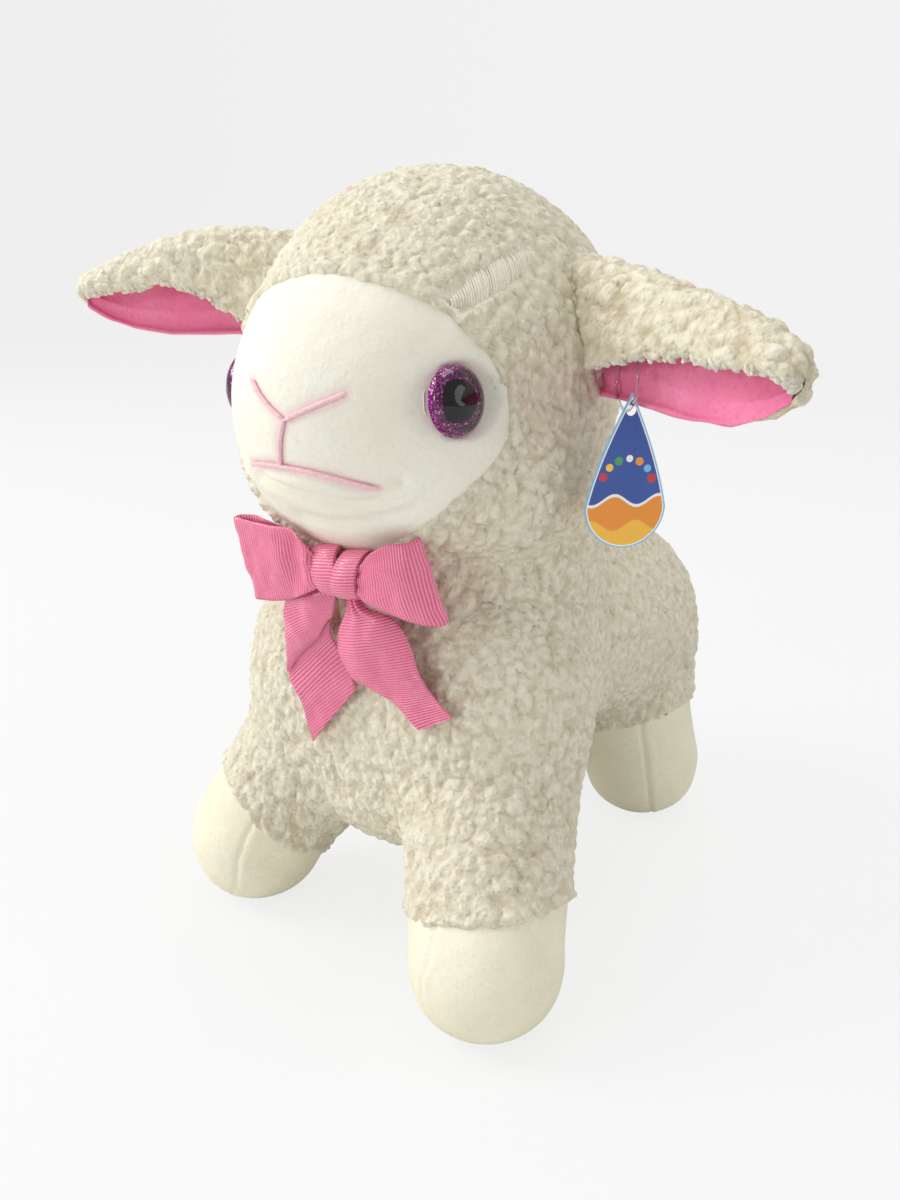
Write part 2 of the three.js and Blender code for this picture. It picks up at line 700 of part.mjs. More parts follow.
function addTag() {
  const round = tag.width / 2;
  const top = tag.holeDrop;
  const middle = top - tag.height + round;
  const bulge = tagShoulderShare.out * round;
  const bulgeHeight = THREE.MathUtils.lerp(top, middle, tagShoulderShare.down);
  const outline = new THREE.Shape();
  outline.moveTo(0, top);
  outline.quadraticCurveTo(-bulge, bulgeHeight, -round, middle);
  outline.absarc(0, middle, round, Math.PI, 2 * Math.PI);
  outline.quadraticCurveTo(bulge, bulgeHeight, 0, top);
  outline.holes.push(new THREE.Path().absarc(0, 0, tag.holeWidth / 2, 0, 2 * Math.PI, true));
  const card = new THREE.ExtrudeGeometry(outline, { depth: tag.thickness, bevelEnabled: false, curveSegments: cardSteps });
  card.rotateX(Math.PI / 2);
  card.translate(0, tag.thickness / 2, 0);
  addPiece("hang_tag", solidOf(card), printedCard).applyMatrix4(tagMatrix());
  addPiece("tag_fastener", fastenerSolid(0), clearPlastic).applyMatrix4(tagMatrix());
}

addTorso();
addHead();
addEyes();
addStitching();
addLegs();
addEars();
addTail();
addBowLoops();
addBowTails();
addKnot();
addTag();

// The origin is on the floor, at the middle of the lamb's outline
const bounds = new THREE.Box3().setFromObject(lamb);
const middle = bounds.getCenter(at(0, 0, 0));
lamb.position.set(-middle.x, -middle.y, -bounds.min.z);

export default lamb;
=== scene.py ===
import math

import bmesh
import bpy
import numpy as np
from mathutils import Matrix, Vector


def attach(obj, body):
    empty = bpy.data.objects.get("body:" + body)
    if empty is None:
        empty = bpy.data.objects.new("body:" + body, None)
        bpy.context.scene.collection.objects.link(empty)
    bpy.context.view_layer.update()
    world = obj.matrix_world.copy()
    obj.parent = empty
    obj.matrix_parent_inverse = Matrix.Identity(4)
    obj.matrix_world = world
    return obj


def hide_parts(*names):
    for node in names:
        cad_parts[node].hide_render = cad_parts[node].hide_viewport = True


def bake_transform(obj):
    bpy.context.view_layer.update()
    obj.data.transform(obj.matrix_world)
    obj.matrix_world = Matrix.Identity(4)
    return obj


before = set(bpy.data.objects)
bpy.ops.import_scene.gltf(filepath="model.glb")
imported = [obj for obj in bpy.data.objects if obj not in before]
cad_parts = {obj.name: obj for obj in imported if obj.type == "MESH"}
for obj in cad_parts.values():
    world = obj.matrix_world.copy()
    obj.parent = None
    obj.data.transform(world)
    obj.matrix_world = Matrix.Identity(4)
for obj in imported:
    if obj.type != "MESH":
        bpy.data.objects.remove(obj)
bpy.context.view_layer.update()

MM = 0.001
# The CAD's origin lies this far from the middle of the head and chest plane
ORIGIN = np.array([0.136, -5.377, 0.0]) * MM


def place(side, forward, height):
    """A point in metres, given in millimetres to the lamb's left, forward and up."""
    return np.array([side, -forward, height], float) * MM + ORIGIN


def unit(vector):
    return vector / np.linalg.norm(vector)


def heading(turn, lift):
    """A direction turned to the lamb's left from straight ahead, then lifted, in degrees."""
    turn, lift = math.radians(turn), math.radians(lift)
    return np.array([math.cos(lift) * math.sin(turn), -math.cos(lift) * math.cos(turn), math.sin(lift)])


def smoothstep(low, high, values):
    share = np.clip((values - low) / (high - low), 0, 1)
    return share * share * (3 - 2 * share)


def link(name, data):
    made = bpy.data.objects.new(name, data)
    bpy.context.scene.collection.objects.link(made)
    return made


# Camera, at the photograph's angle
CAMERA_TARGET = place(-2.1, 14.8, 115.9)
CAMERA_DISTANCE = 386.2
CAMERA_TURN = 31.3
CAMERA_LIFT = 18.2
CAMERA_ROLL = math.radians(0.7)
CAMERA_LENS = 30.65
CAMERA_SENSOR = 36


def add_camera():
    back = heading(CAMERA_TURN, CAMERA_LIFT)
    right = unit(np.cross([0, 0, 1], back))
    up = np.cross(back, right)
    cos, sin = math.cos(CAMERA_ROLL), math.sin(CAMERA_ROLL)
    spot = CAMERA_TARGET + back * CAMERA_DISTANCE * MM
    matrix = np.eye(4)
    matrix[:3] = np.stack([cos * right + sin * up, cos * up - sin * right, back, spot], 1)
    data = bpy.data.cameras.new("camera")
    data.lens = CAMERA_LENS
    data.sensor_width = CAMERA_SENSOR
    data.clip_start = 0.01
    camera = link("camera", data)
    camera.matrix_world = Matrix(matrix.tolist())
    bpy.context.scene.camera = camera


add_camera()


# Noise, the same on every run
def lattice_hash(cells, seed):
    x, y, z = cells[..., 0], cells[..., 1], cells[..., 2]
    mixed = (x * 73856093) ^ (y * 19349663) ^ (z * 83492791) ^ (seed * 2654435761)
    mixed &= 0xFFFFFFFF
    mixed = ((mixed ^ (mixed >> 15)) * 2246822519) & 0xFFFFFFFF
    mixed = ((mixed ^ (mixed >> 13)) * 3266489917) & 0xFFFFFFFF
    return ((mixed ^ (mixed >> 16)) & 0xFFFFFF) / float(0xFFFFFF)


def value_noise(points, size, seed):
    """Smooth noise from -1 to 1 whose lumps are about one size across."""
    scaled = points / size
    corner = np.floor(scaled).astype(np.int64)
    share = scaled - corner
    share = share * share * (3 - 2 * share)
    total = np.zeros(len(points))
    for step in np.ndindex(2, 2, 2):
        shares = np.where(step, share, 1 - share)
        total += shares[:, 0] * shares[:, 1] * shares[:, 2] * lattice_hash(corner + step, seed)
    return 2 * total - 1


def vector_noise(points, size, seed):
    return np.stack([value_noise(points, size, seed + shift) for shift in (1, 2, 3)], 1)


def cell_distances(points, size, seed):
    """Distances to the two nearest scattered centres, in cell sizes."""
    scaled = points / size
    corner = np.floor(scaled).astype(np.int64)
    first = np.full(len(points), 9.0)
    second = np.full(len(points), 9.0)
    for step in np.ndindex(3, 3, 3):
        cell = corner + step - 1
        centre = cell + np.stack([lattice_hash(cell, seed + shift) for shift in (11, 12, 13)], 1)
        distance = np.linalg.norm(scaled - centre, axis=1)
        second = np.minimum(second, np.maximum(first, distance))
        first = np.minimum(first, distance)
    return first, second


def curl_height(points, size, seed):
    """Sherpa curls, from about -1 in the creases to 1 on the crowns."""
    warped = points + 0.5 * size * vector_noise(points, 1.2 * size, seed)
    first, second = cell_distances(warped, size, seed)
    crown = 1 - np.clip(first / 0.85, 0, 1) ** 2
    crease = smoothstep(0, 0.22, second - first)
    depth = 0.5 + 0.5 * value_noise(points, 2.2 * size, seed + 6)
    small, _ = cell_distances(warped, 0.45 * size, seed + 5)
    fine = 1 - np.clip(small / 0.85, 0, 1) ** 2
    lumps = value_noise(points, 3 * size, seed + 7)
    return 1.25 * (crown * (1 - 0.5 * depth * (1 - crease)) + 0.3 * fine - 0.75) + 0.25 * lumps


# The stuffed forms, as in the CAD: lobes that run into each other
HEAD_CORE = place(0, 40, 205)
CHEST_CORE = place(0, 27, 97)
BARREL_CORE = place(0, -37, 101)
HIPS = {
    "front_left": place(33, 42, 74),
    "front_right": place(-33, 42, 74),
    "rear_left": place(34, -72, 74),
    "rear_right": place(-34, -72, 74),
}
FOOT_BALLS = {
    "front_left": place(55, 84, 24.8),
    "front_right": place(-59, 64, 24.8),
    "rear_left": place(44, -79, 24.8),
    "rear_right": place(-44, -79, 24.8),
}
BOOT_REACH = {"front_left": 4 * MM, "front_right": 11 * MM, "rear_left": 20 * MM, "rear_right": 20 * MM}
LEGS = list(HIPS)
BOOT_RADIUS = 26 * MM
LEG_RADIUS = 28.5 * MM
HIP_RADIUS = 29.5 * MM


def lobe(centre, forward, above, half_width, half_length, half_height):
    offset = np.array([0, -forward, above], float) * MM
    return centre + offset, np.array([half_width, half_length, half_height], float) * MM


HEAD_LOBES = [
    lobe(HEAD_CORE, -14, 1, 61, 60, 60),
    lobe(HEAD_CORE, 25, -10, 42, 43, 41),
    lobe(HEAD_CORE, 3, -37, 59, 38, 27),
]
MUZZLE_CENTRE = HEAD_LOBES[1][0]
TORSO_LOBES = [
    lobe(BARREL_CORE, 0, 0, 60, 73, 47),
    lobe(CHEST_CORE, 0, 0, 54, 45, 55),
    lobe(CHEST_CORE + 0.55 * (HEAD_CORE - CHEST_CORE), -14, 0, 56, 52, 44),
    lobe(HIPS["front_left"], 3, 16, 31, 30, 42),
    lobe(HIPS["front_right"], 3, 16, 31, 30, 42),
    lobe(HIPS["rear_left"], 0, 12, 29, 34, 36),
    lobe(HIPS["rear_right"], 0, 12, 29, 34, 36),
    lobe(place(0, 46, 57), 0, 0, 27, 24, 21),
]
FACE_PATCH = lobe(HEAD_CORE, 72, -13.5, 72, 59, 44.5)
CHIN_NARROWING = 0.6
LOBE_BLEND = 9 * MM
HIP_BLEND = 3 * MM
NECK_BLEND = 1.5 * MM


def lobe_distance(lobe_, points):
    centre, radii = lobe_
    scaled = (points - centre) / radii
    length = np.linalg.norm(scaled, axis=1)
    slope = np.linalg.norm(scaled / radii, axis=1)
    return length * (length - 1) / np.maximum(slope, 1e-9)


def face_patch_distance(points):
    """How far outside the face patch points lie; the patch narrows towards the chin."""
    below = smoothstep(HEAD_CORE[2] - 11 * MM, HEAD_CORE[2] - 50 * MM, points[:, 2])
    narrowed = points.copy()
    narrowed[:, 0] = ORIGIN[0] + (points[:, 0] - ORIGIN[0]) * (1 + CHIN_NARROWING * below)
    return lobe_distance(FACE_PATCH, narrowed)


def soft_least(distances, blend):
    least = np.min(distances, axis=0)
    return least - blend * np.log(sum(np.exp(-(each - least) / blend) for each in distances))


def head_distance(points):
    return soft_least([lobe_distance(each, points) for each in HEAD_LOBES], LOBE_BLEND)


def torso_distance(points):
    return soft_least([lobe_distance(each, points) for each in TORSO_LOBES], LOBE_BLEND)


def leg_frame(leg):
    along = HIPS[leg] - FOOT_BALLS[leg]
    return FOOT_BALLS[leg], unit(along), np.linalg.norm(along)


def leg_reach(leg, points):
    """How far each point lies from the boot's round end towards the hip."""
    ball, axis, _ = leg_frame(leg)
    return (points - ball) @ axis


def leg_distance(leg, points):
    ball, axis, length = leg_frame(leg)
    reach = np.clip(leg_reach(leg, points), 0, length)
    radius = np.interp(
        reach,
        [0, BOOT_REACH[leg], (BOOT_REACH[leg] + length) / 2, length],
        [BOOT_RADIUS, BOOT_RADIUS, LEG_RADIUS, HIP_RADIUS],
    )
    return np.linalg.norm(points - ball - reach[:, None] * axis, axis=1) - radius


def body_distance(points):
    below = soft_least([torso_distance(points)] + [leg_distance(leg, points) for leg in LEGS], HIP_BLEND)
    return soft_least([below, head_distance(points)], NECK_BLEND)


def slope_of(field, points):
    step = 0.2 * MM
    slopes = [field(points + step * axis) - field(points - step * axis) for axis in np.eye(3)]
    return np.stack(slopes, 1) / (2 * step)


def onto(field, points, rounds=4):
    for _ in range(rounds):
        slope = slope_of(field, points)
        points = points - (field(points) / np.maximum((slope**2).sum(1), 1e-6))[:, None] * slope
    return points


def surface_from(field, start, direction):
    """Where a ray from inside a form leaves it."""
    inner, outer = 0.0, 0.2
    for _ in range(30):
        middle = (inner + outer) / 2
        inside = field((start + middle * direction)[None])[0] < 0
        inner, outer = (middle, outer) if inside else (inner, middle)
    return start + inner * direction


# Meshes
def mesh_object(name, points, faces, material, smooth=True):
    mesh = bpy.data.meshes.new(name)
    mesh.from_pydata([tuple(point) for point in points], [], [tuple(face) for face in faces])
    if smooth:
        mesh.shade_smooth()
    mesh.materials.append(material)
    return link(name, mesh)


def read(data, key, width, kind=float):
    values = np.empty(width * len(data), kind)
    data.foreach_get(key, values)
    return values.reshape(-1, width)


def points_of(mesh):
    return read(mesh.vertices, "co", 3)


def normals_of(mesh):
    return read(mesh.vertices, "normal", 3)


def quads_of(mesh):
    return read(mesh.loops, "vertex_index", 1, np.int64).reshape(-1, 4)


def modified(mesh, kind, **settings):
    """A mesh with one modifier applied."""
    made = link("modified", mesh)
    modifier = made.modifiers.new(kind, kind)
    for key, value in settings.items():
        setattr(modifier, key, value)
    graph = bpy.context.evaluated_depsgraph_get()
    mesh = bpy.data.meshes.new_from_object(made.evaluated_get(graph))
    bpy.data.objects.remove(made)
    return mesh


def relaxed(points, quads, rounds):
    """Evens out the spacing of a quad mesh's points."""
    ends = np.concatenate([quads, np.roll(quads, 1, axis=1)])
    starts = np.concatenate([np.roll(quads, 1, axis=1), quads])
    count = np.bincount(ends.ravel(), minlength=len(points))[:, None]
    for _ in range(rounds):
        total = np.zeros_like(points)
        for axis in range(3):
            total[:, axis] = np.bincount(ends.ravel(), points[starts.ravel(), axis], len(points))
        points = 0.4 * points + 0.6 * total / count
    return points


def body_surface(voxel):
    """One quad mesh over the head, torso and legs, with its outward directions."""
    shape = bmesh.new()
    balls = HEAD_LOBES + TORSO_LOBES
    for leg in LEGS:
        ball, axis, length = leg_frame(leg)
        for share in np.linspace(0, 1, 7):
            balls.append((ball + share * length * axis, np.full(3, BOOT_RADIUS)))
    for centre, radii in balls:
        matrix = Matrix.Translation(centre) @ Matrix.Diagonal((*radii, 1))
        bmesh.ops.create_icosphere(shape, subdivisions=4, radius=1, matrix=matrix)
    mesh = bpy.data.meshes.new("rough_body")
    shape.to_mesh(mesh)
    shape.free()
    mesh = modified(mesh, "REMESH", mode="VOXEL", voxel_size=voxel)
    points, quads = points_of(mesh), quads_of(mesh)
    for _ in range(3):
        points = onto(body_distance, relaxed(points, quads, 2), 2)
    mesh.vertices.foreach_set("co", points.ravel())
    mesh = modified(mesh, "SUBSURF", levels=2)
    points, quads = points_of(mesh), quads_of(mesh)
    points = onto(body_distance, points, 2)
    slope = slope_of(body_distance, points)
    normals = slope / np.linalg.norm(slope, axis=1)[:, None]
    return points, quads, normals


# Materials
def srgb(red, green, blue):
    """Linear colour of an sRGB one given from 0 to 255."""
    shares = [value / 255 for value in (red, green, blue)]
    return [s / 12.92 if s <= 0.04045 else ((s + 0.055) / 1.055) ** 2.4 for s in shares] + [1.0]


class Nodes:
    """Short calls for building one material's node tree."""

    def __init__(self, name, **settings):
        self.material = bpy.data.materials.new(name)
        self.material.use_nodes = True
        self.tree = self.material.node_tree
        self.shader = self.tree.nodes["Principled BSDF"]
        for key, value in settings.items():
            self.shader.inputs[key.replace("_", " ")].default_value = value

    def add(self, kind, inputs=(), **settings):
        node = self.tree.nodes.new("ShaderNode" + kind)
        for key, value in settings.items():
            setattr(node, key, value)
        for key, value in dict(inputs).items():
            if isinstance(value, bpy.types.NodeSocket):
                self.tree.links.new(value, node.inputs[key])
            else:
                node.inputs[key].default_value = value
        return node

    def place(self, stretch=(1, 1, 1)):
        """Where a point is at rest, in metres, stretched along the axes."""
        where = self.add("TexCoord").outputs["Object"]
        return self.add("Mapping", {"Vector": where, "Scale": stretch}).outputs["Vector"]

    def noise(self, scale, detail=2.0, stretch=(1, 1, 1), roughness=0.5, distortion=0.0):
        inputs = {
            "Vector": self.place(stretch),
            "Scale": scale,
            "Detail": detail,
            "Roughness": roughness,
            "Distortion": distortion,
        }
        return self.add("TexNoise", inputs).outputs["Fac"]

    def cells(self, scale, feature="F1"):
        return self.add("TexVoronoi", {"Vector": self.place(), "Scale": scale}, feature=feature).outputs

    def math(self, operation, first, second=0.0):
        return self.add("Math", {0: first, 1: second}, operation=operation).outputs[0]

    def spread(self, value, low, high, to_low=0.0, to_high=1.0):
        inputs = {"Value": value, "From Min": low, "From Max": high, "To Min": to_low, "To Max": to_high}
        return self.add("MapRange", inputs).outputs[0]

    def attribute(self, name):
        return self.add("Attribute", attribute_name=name).outputs["Fac"]

    def mix(self, share, first, second):
        return self.add("Mix", {0: share, 6: first, 7: second}, data_type="RGBA").outputs[2]

    def colour(self, value):
        self.tree.links.new(value, self.shader.inputs["Base Color"])

    def rough(self, value):
        self.tree.links.new(value, self.shader.inputs["Roughness"])

    def bump(self, *layers):
        """Layers of (height, depth in metres) added onto each other."""
        normal = None
        for height, depth in layers:
            inputs = {"Height": height, "Distance": abs(depth), "Strength": 1.0}
            if normal is not None:
                inputs["Normal"] = normal
            normal = self.add("Bump", inputs, invert=depth < 0).outputs["Normal"]
        self.tree.links.new(normal, self.shader.inputs["Normal"])


def soft_settings(roughness, sheen, tint):
    return {
        "Roughness": roughness,
        "Specular_IOR_Level": 0.15,
        "Sheen_Weight": sheen,
        "Sheen_Roughness": 0.45,
        "Sheen_Tint": tint,
    }


def fleece_material():
    made = Nodes(
        "curly_fleece",
        Subsurface_Weight=0.3,
        Subsurface_Radius=(1.0, 0.85, 0.65),
        Subsurface_Scale=2.0 * MM,
        **soft_settings(0.95, 0.2, srgb(255, 246, 226)),
    )
    # Painted shade: the fleece is painted tan where it lies low: in the creases between its curls (the
    # hollow attribute), along thin crevice lines from noise, and round the rims of small lumps.
    hollow = made.attribute("hollow")
    fold = made.noise(210, 2, (1, 1, 0.6), 0.5, 1.4)
    painted_crevice_shade = made.math("ABSOLUTE", made.math("SUBTRACT", fold, 0.5))
    painted_crevice_shade = made.spread(painted_crevice_shade, 0.0, 0.04, 1.0, 0.0)
    painted_crevice_shade = made.math("MULTIPLY", painted_crevice_shade, made.spread(made.noise(70, 2), 0.42, 0.6))
    fibres = made.noise(1000, 3, (1, 1, 0.35), 0.6, 1.6)
    speck = made.noise(420, 3, roughness=0.7, distortion=0.6)
    crown = made.mix(made.noise(45, 3), srgb(240, 235, 215), srgb(233, 226, 203))
    # Painted highlight: the crests of the fine fibres are painted a lighter cream.
    crown = made.mix(made.spread(fibres, 0.5, 0.75), crown, srgb(246, 242, 227))
    depth = made.math("ADD", hollow, made.spread(speck, 0.3, 0.7, 0.15, -0.15))
    depth = made.spread(depth, 0.48, 1.1, 0.0, 0.85)
    depth = made.math("MAXIMUM", depth, made.math("MULTIPLY", painted_crevice_shade, 0.4))
    lumps = made.cells(360, feature="SMOOTH_F1")["Distance"]
    depth = made.math("MAXIMUM", depth, made.spread(lumps, 0.36, 0.66, 0.0, 0.45))
    # The tan mixed in here is the painted crease shade.
    made.colour(made.mix(depth, crown, srgb(196, 180, 146)))
    curls = made.cells(760, feature="SMOOTH_F1")["Distance"]
    made.bump((lumps, -1.2 * MM), (curls, -0.5 * MM), (speck, 0.4 * MM), (fibres, 0.2 * MM))
    return made.material


def velour_material(name, light, shade, worn, sheen, tinted=False):
    made = Nodes(name, **soft_settings(0.9, sheen, light))
    blush = made.noise(28, 3)
    nap = made.noise(700, 3, roughness=0.65)
    base = made.mix(made.spread(blush, 0.35, 0.65), light, shade)
    base = made.mix(made.spread(nap, 0.5, 0.8, 0, 0.55), base, worn)
    if tinted:
        base = made.mix(made.math("MULTIPLY", made.attribute("blush"), 0.4), base, srgb(250, 196, 206))
    made.colour(base)
    pile = made.noise(2600, 2)
    brushed = made.noise(160, 2)
    made.bump((brushed, 0.5 * MM), (nap, 0.22 * MM), (pile, 0.08 * MM))
    return made.material


def ribbon_material():
    made = Nodes(
        "ribbed_ribbon",
        Roughness=0.34,
        Specular_IOR_Level=0.75,
        Sheen_Weight=0.35,
        Sheen_Roughness=0.3,
        Sheen_Tint=srgb(255, 226, 246),
        Anisotropic=0.4,
    )
    crest = made.attribute("crest")
    tint = made.noise(60, 2)
    threads = made.noise(2400, 2)
    base = made.mix(tint, srgb(255, 158, 190), srgb(248, 134, 168))
    # Painted highlight and painted shade: the rib crests are painted pale pink and the valleys between the
    # ribs deep rose.
    made.colour(made.mix(made.spread(crest, 0.15, 1.0), srgb(208, 62, 106), base))
    made.rough(made.spread(threads, 0.3, 0.7, 0.2, 0.34))
    made.bump((threads, 0.06 * MM))
    return made.material


def thread_material(name, light, dark):
    made = Nodes(name, Roughness=0.6, Sheen_Weight=0.4, Sheen_Roughness=0.4, Sheen_Tint=light)
    ply = made.noise(1500, 2, distortion=1.0)
    made.colour(made.mix(made.spread(ply, 0.35, 0.65), dark, light))
    made.bump((ply, 0.25 * MM))
    return made.material


def clear_material():
    made = Nodes(
        "clear_plastic_new", Roughness=0.03, IOR=1.49, Transmission_Weight=1.0, Specular_IOR_Level=0.3
    )
    wear = made.noise(900, 2)
    made.rough(made.spread(wear, 0.4, 0.75, 0.01, 0.07))
    made.bump((made.noise(300, 1), 0.004 * MM))
    return made.material


fleece = fleece_material()
velour = velour_material(
    "cream_velour_new", srgb(247, 243, 220), srgb(240, 235, 208), srgb(228, 221, 190), 0.2
)
face_velour = velour_material(
    "face_velour_new", srgb(249, 247, 234), srgb(244, 240, 223), srgb(234, 229, 208), 0.2, tinted=True
)
pink_velour = velour_material(
    "pink_velour_new", srgb(252, 150, 186), srgb(240, 118, 162), srgb(222, 96, 144), 0.4
)
ribbon = ribbon_material()
pink_thread = thread_material("pink_thread_new", srgb(255, 218, 226), srgb(250, 192, 206))
cream_thread = thread_material("cream_thread_new", srgb(249, 244, 228), srgb(238, 231, 210))
clear = clear_material()


# Lofts, tubes and ribbons
def turned_about(axis, degrees):
    return np.array(Matrix.Rotation(math.radians(degrees), 3, Vector(axis)))


def catmull_rom(stops, count):
    """Points along a smooth line through the stops, the same number between each pair."""
    stops = np.asarray(stops, float)
    padded = np.concatenate([2 * stops[:1] - stops[1:2], stops, 2 * stops[-1:] - stops[-2:-1]])
    made = []
    for index in range(len(stops) - 1):
        a, b, c, d = padded[index : index + 4]
        for t in np.arange(count) / count:
            curve = (2 * a - 5 * b + 4 * c - d) * t**2 + (3 * b - a - 3 * c + d) * t**3
            made.append((2 * b + (c - a) * t + curve) / 2)
    made.append(stops[-1])
    return np.array(made)


def evenly(path, spacing):
    """The same line with its points the spacing apart."""
    steps = np.linalg.norm(np.diff(path, axis=0), axis=1)
    reach = np.concatenate([[0], np.cumsum(steps)])
    count = max(2, int(round(reach[-1] / spacing)) + 1)
    where = np.linspace(0, reach[-1], count)
    return np.stack([np.interp(where, reach, path[:, axis]) for axis in range(path.shape[1])], 1)


def grid_faces(rows, columns, wrap=False):
    faces = []
    for row in range(rows - 1):
        for column in range(columns if wrap else columns - 1):
            here = row * columns + column
            across = row * columns + (column + 1) % columns
            faces.append((here, across, across + columns, here + columns))
    return faces


def closed_loft(rings):
    """Points and faces of a solid through rings of equal count, capped at both ends."""
    rings = np.asarray(rings)
    rows, columns = rings.shape[:2]
    points = [tuple(p) for p in rings.reshape(-1, 3)]
    faces = grid_faces(rows, columns, wrap=True)
    for row, turn in ((0, 1), (rows - 1, -1)):
        centre = len(points)
        points.append(tuple(rings[row].mean(axis=0)))
        for column in range(columns):
            corners = (row * columns + (column + 1) % columns, row * columns + column, centre)
            faces.append(corners[::turn])
    return np.array(points), faces


def tube(path, radii, sides):
    """A round tube along a path, with its own radius at each point."""
    tangents = np.gradient(path, axis=0)
    tangents /= np.linalg.norm(tangents, axis=1)[:, None]
    side = unit(np.cross(tangents[0], [0.31, 0.52, 0.8]))
    rings = []
    for centre, tangent, radius in zip(path, tangents, radii):
        side = unit(side - tangent * (side @ tangent))
        other = np.cross(tangent, side)
        turns = np.linspace(0, 2 * math.pi, sides, endpoint=False)
        rings.append(centre + radius * (np.cos(turns)[:, None] * side + np.sin(turns)[:, None] * other))
    return closed_loft(rings)


def merged(parts):
    """One list of points and one of faces from several."""
    points, faces, count = [], [], 0
    for part_points, part_faces in parts:
        points.append(np.asarray(part_points))
        faces += [tuple(count + corner for corner in face) for face in part_faces]
        count += len(part_points)
    return np.concatenate(points), faces


def outward(made):
    """Turns the faces of a closed mesh outwards."""
    shape = bmesh.new()
    shape.from_mesh(made.data)
    bmesh.ops.recalc_face_normals(shape, faces=shape.faces)
    shape.to_mesh(made.data)
    shape.free()
    return made


def add_point_values(made, name, values):
    layer = made.data.attributes.new(name, "FLOAT", "POINT")
    layer.data.foreach_set("value", np.asarray(values, np.float32))


# Fringes: small rounded curls of pile that break up the ears' front rims
TUFT_LENGTHS = (1.2, 2.1)
TUFT_WIDTHS = (0.8, 1.4)
TUFT_SPREAD = 0.6


def combed_down(normals):
    """The downward direction along a surface at each of its points."""
    flat = [0, 0, -1] + normals * normals[:, 2:]
    length = np.linalg.norm(flat, axis=1)[:, None]
    flat = np.where(length > 0.05, flat, np.cross(normals, [0.3, 0.9, 0.2]))
    return flat / np.linalg.norm(flat, axis=1)[:, None]


def ball_pattern(subdivisions):
    shape = bmesh.new()
    bmesh.ops.create_icosphere(shape, subdivisions=subdivisions, radius=1)
    points = np.array([vertex.co[:] for vertex in shape.verts])
    faces = [tuple(vertex.index for vertex in face.verts) for face in shape.faces]
    shape.free()
    return points, faces


def add_tufts(name, roots, normals, seed):
    """Rounded tufts of fleece on a surface, longer the way they are combed."""
    random = np.random.default_rng(seed)
    count = len(roots)
    angles = TUFT_SPREAD * random.normal(size=count)[:, None]
    down = combed_down(normals)
    forward = down * np.cos(angles) + np.cross(normals, down) * np.sin(angles)
    side = np.cross(normals, forward)
    lengths = random.uniform(*TUFT_LENGTHS, count)[:, None] * MM
    widths = random.uniform(*TUFT_WIDTHS, count)[:, None] * MM
    pattern, pattern_faces = ball_pattern(3)
    axes = np.stack([forward * lengths, side * widths, normals * 0.8 * widths], 1)
    centres = roots + forward * 0.5 * lengths + normals * 0.1 * widths
    places = (centres[:, None] + pattern @ axes).reshape(-1, 3)
    outwards = (pattern[None, :, None] @ axes[:, None]).reshape(-1, 3) / MM
    dents = 0.28 * value_noise(places, 0.9 * MM, seed + 1) + 0.2 * value_noise(places, 1.9 * MM, seed + 2)
    places = places + 0.9 * MM * dents[:, None] * outwards
    points, faces = merged([(ball, pattern_faces) for ball in np.split(places, count)])
    made = mesh_object(name, points, faces, fleece)
    # Painted shade: the tufts are painted tan in their dents.
    add_point_values(made, "hollow", np.clip(0.25 - 0.9 * dents, 0, 1))
    return made


# Stuffed body: one surface, divided into the pieces it is sewn from
CURL_SIZE = 3.7 * MM
CURL_STRETCH = np.array([1, 1, 1.35])
FLEECE_RISE = 1.3 * MM
FLEECE_SAG = 0.5 * MM
VELOUR_SINK = 0.6 * MM
EDGE_SINK = 1.9 * MM
EDGE_WIDTH = 2.0 * MM
EDGE_HUMP = 1.1
EDGE_RAGS = (0.6 * MM, 1.5 * MM)
TUCK = 4.5 * MM
BOOT_CORNER = 1.5 * MM
SADDLE_TURN = 0.57
# Each boot's seam: its level, its rise to the front and to the left, and its saddle, in millimetres
BOOT_EDGES = {
    "front_left": (12.6, -8, -2, 2.0),
    "front_right": (10.5, 3, -3, 1.5),
    "rear_left": (23.1, 3.0, 4.3, 0.0),
    "rear_right": (23.1, 3.0, -4.3, 0.0),
}


def boot_angle(leg, points):
    """The angle of points round a leg's axis, from its front towards its left."""
    ball, axis, _ = leg_frame(leg)
    front = unit(np.array([0, -1, 0]) + axis * axis[1])
    spoke = points - ball
    return np.arctan2(spoke @ np.cross(axis, front), spoke @ front)


def boot_edge_distance(leg, points):
    """How far above a boot's wavy seam each point lies."""
    level, ahead, aside, saddle = BOOT_EDGES[leg]
    angle = boot_angle(leg, points)
    seam = level + ahead * np.cos(angle) + aside * np.sin(angle)
    seam = seam - saddle * np.cos(2 * (angle - SADDLE_TURN))
    return leg_reach(leg, points) - seam * MM


def split_plane(leg):
    """A point and the downward normal of the plane that parts a leg from the torso."""
    side = 1 if "left" in leg else -1
    if "front" in leg:
        corners = [(2, 45, 35), (68, 45, 80), (35, 8, 46)]
    else:
        corners = [(2, -72, 56), (66, -74, 75), (34, -38, 56)]
    a, b, c = [place(side * x, y, z) for x, y, z in corners]
    normal = unit(np.cross(b - a, c - a))
    return a, normal if normal[2] < 0 else -normal


# Stitched lines on the muzzle, as turns and lifts in degrees
NOSE_ARMS = [[(-20, 13), (-10, 5.5), (0, -0.5)], [(25, 10.5), (12, 5), (0, -0.5)]]
NOSE_STEM = [(0, 0), (-3, -9), (-5.5, -18.5)]
MOUTH = [(-29, -21.5), (-17, -19.5), (-5.5, -18.9), (6, -19.4), (17.4, -21.3), (27, -23.4), (37, -25.5)]
LIP_FOLD = [(-25, -25.5), (-7, -30.5), (6.3, -33), (23.2, -34.2), (39.4, -30), (46, -24)]
CHIN_FOLD = [(-11, -45), (10.6, -46.5), (32.7, -42), (50, -35)]


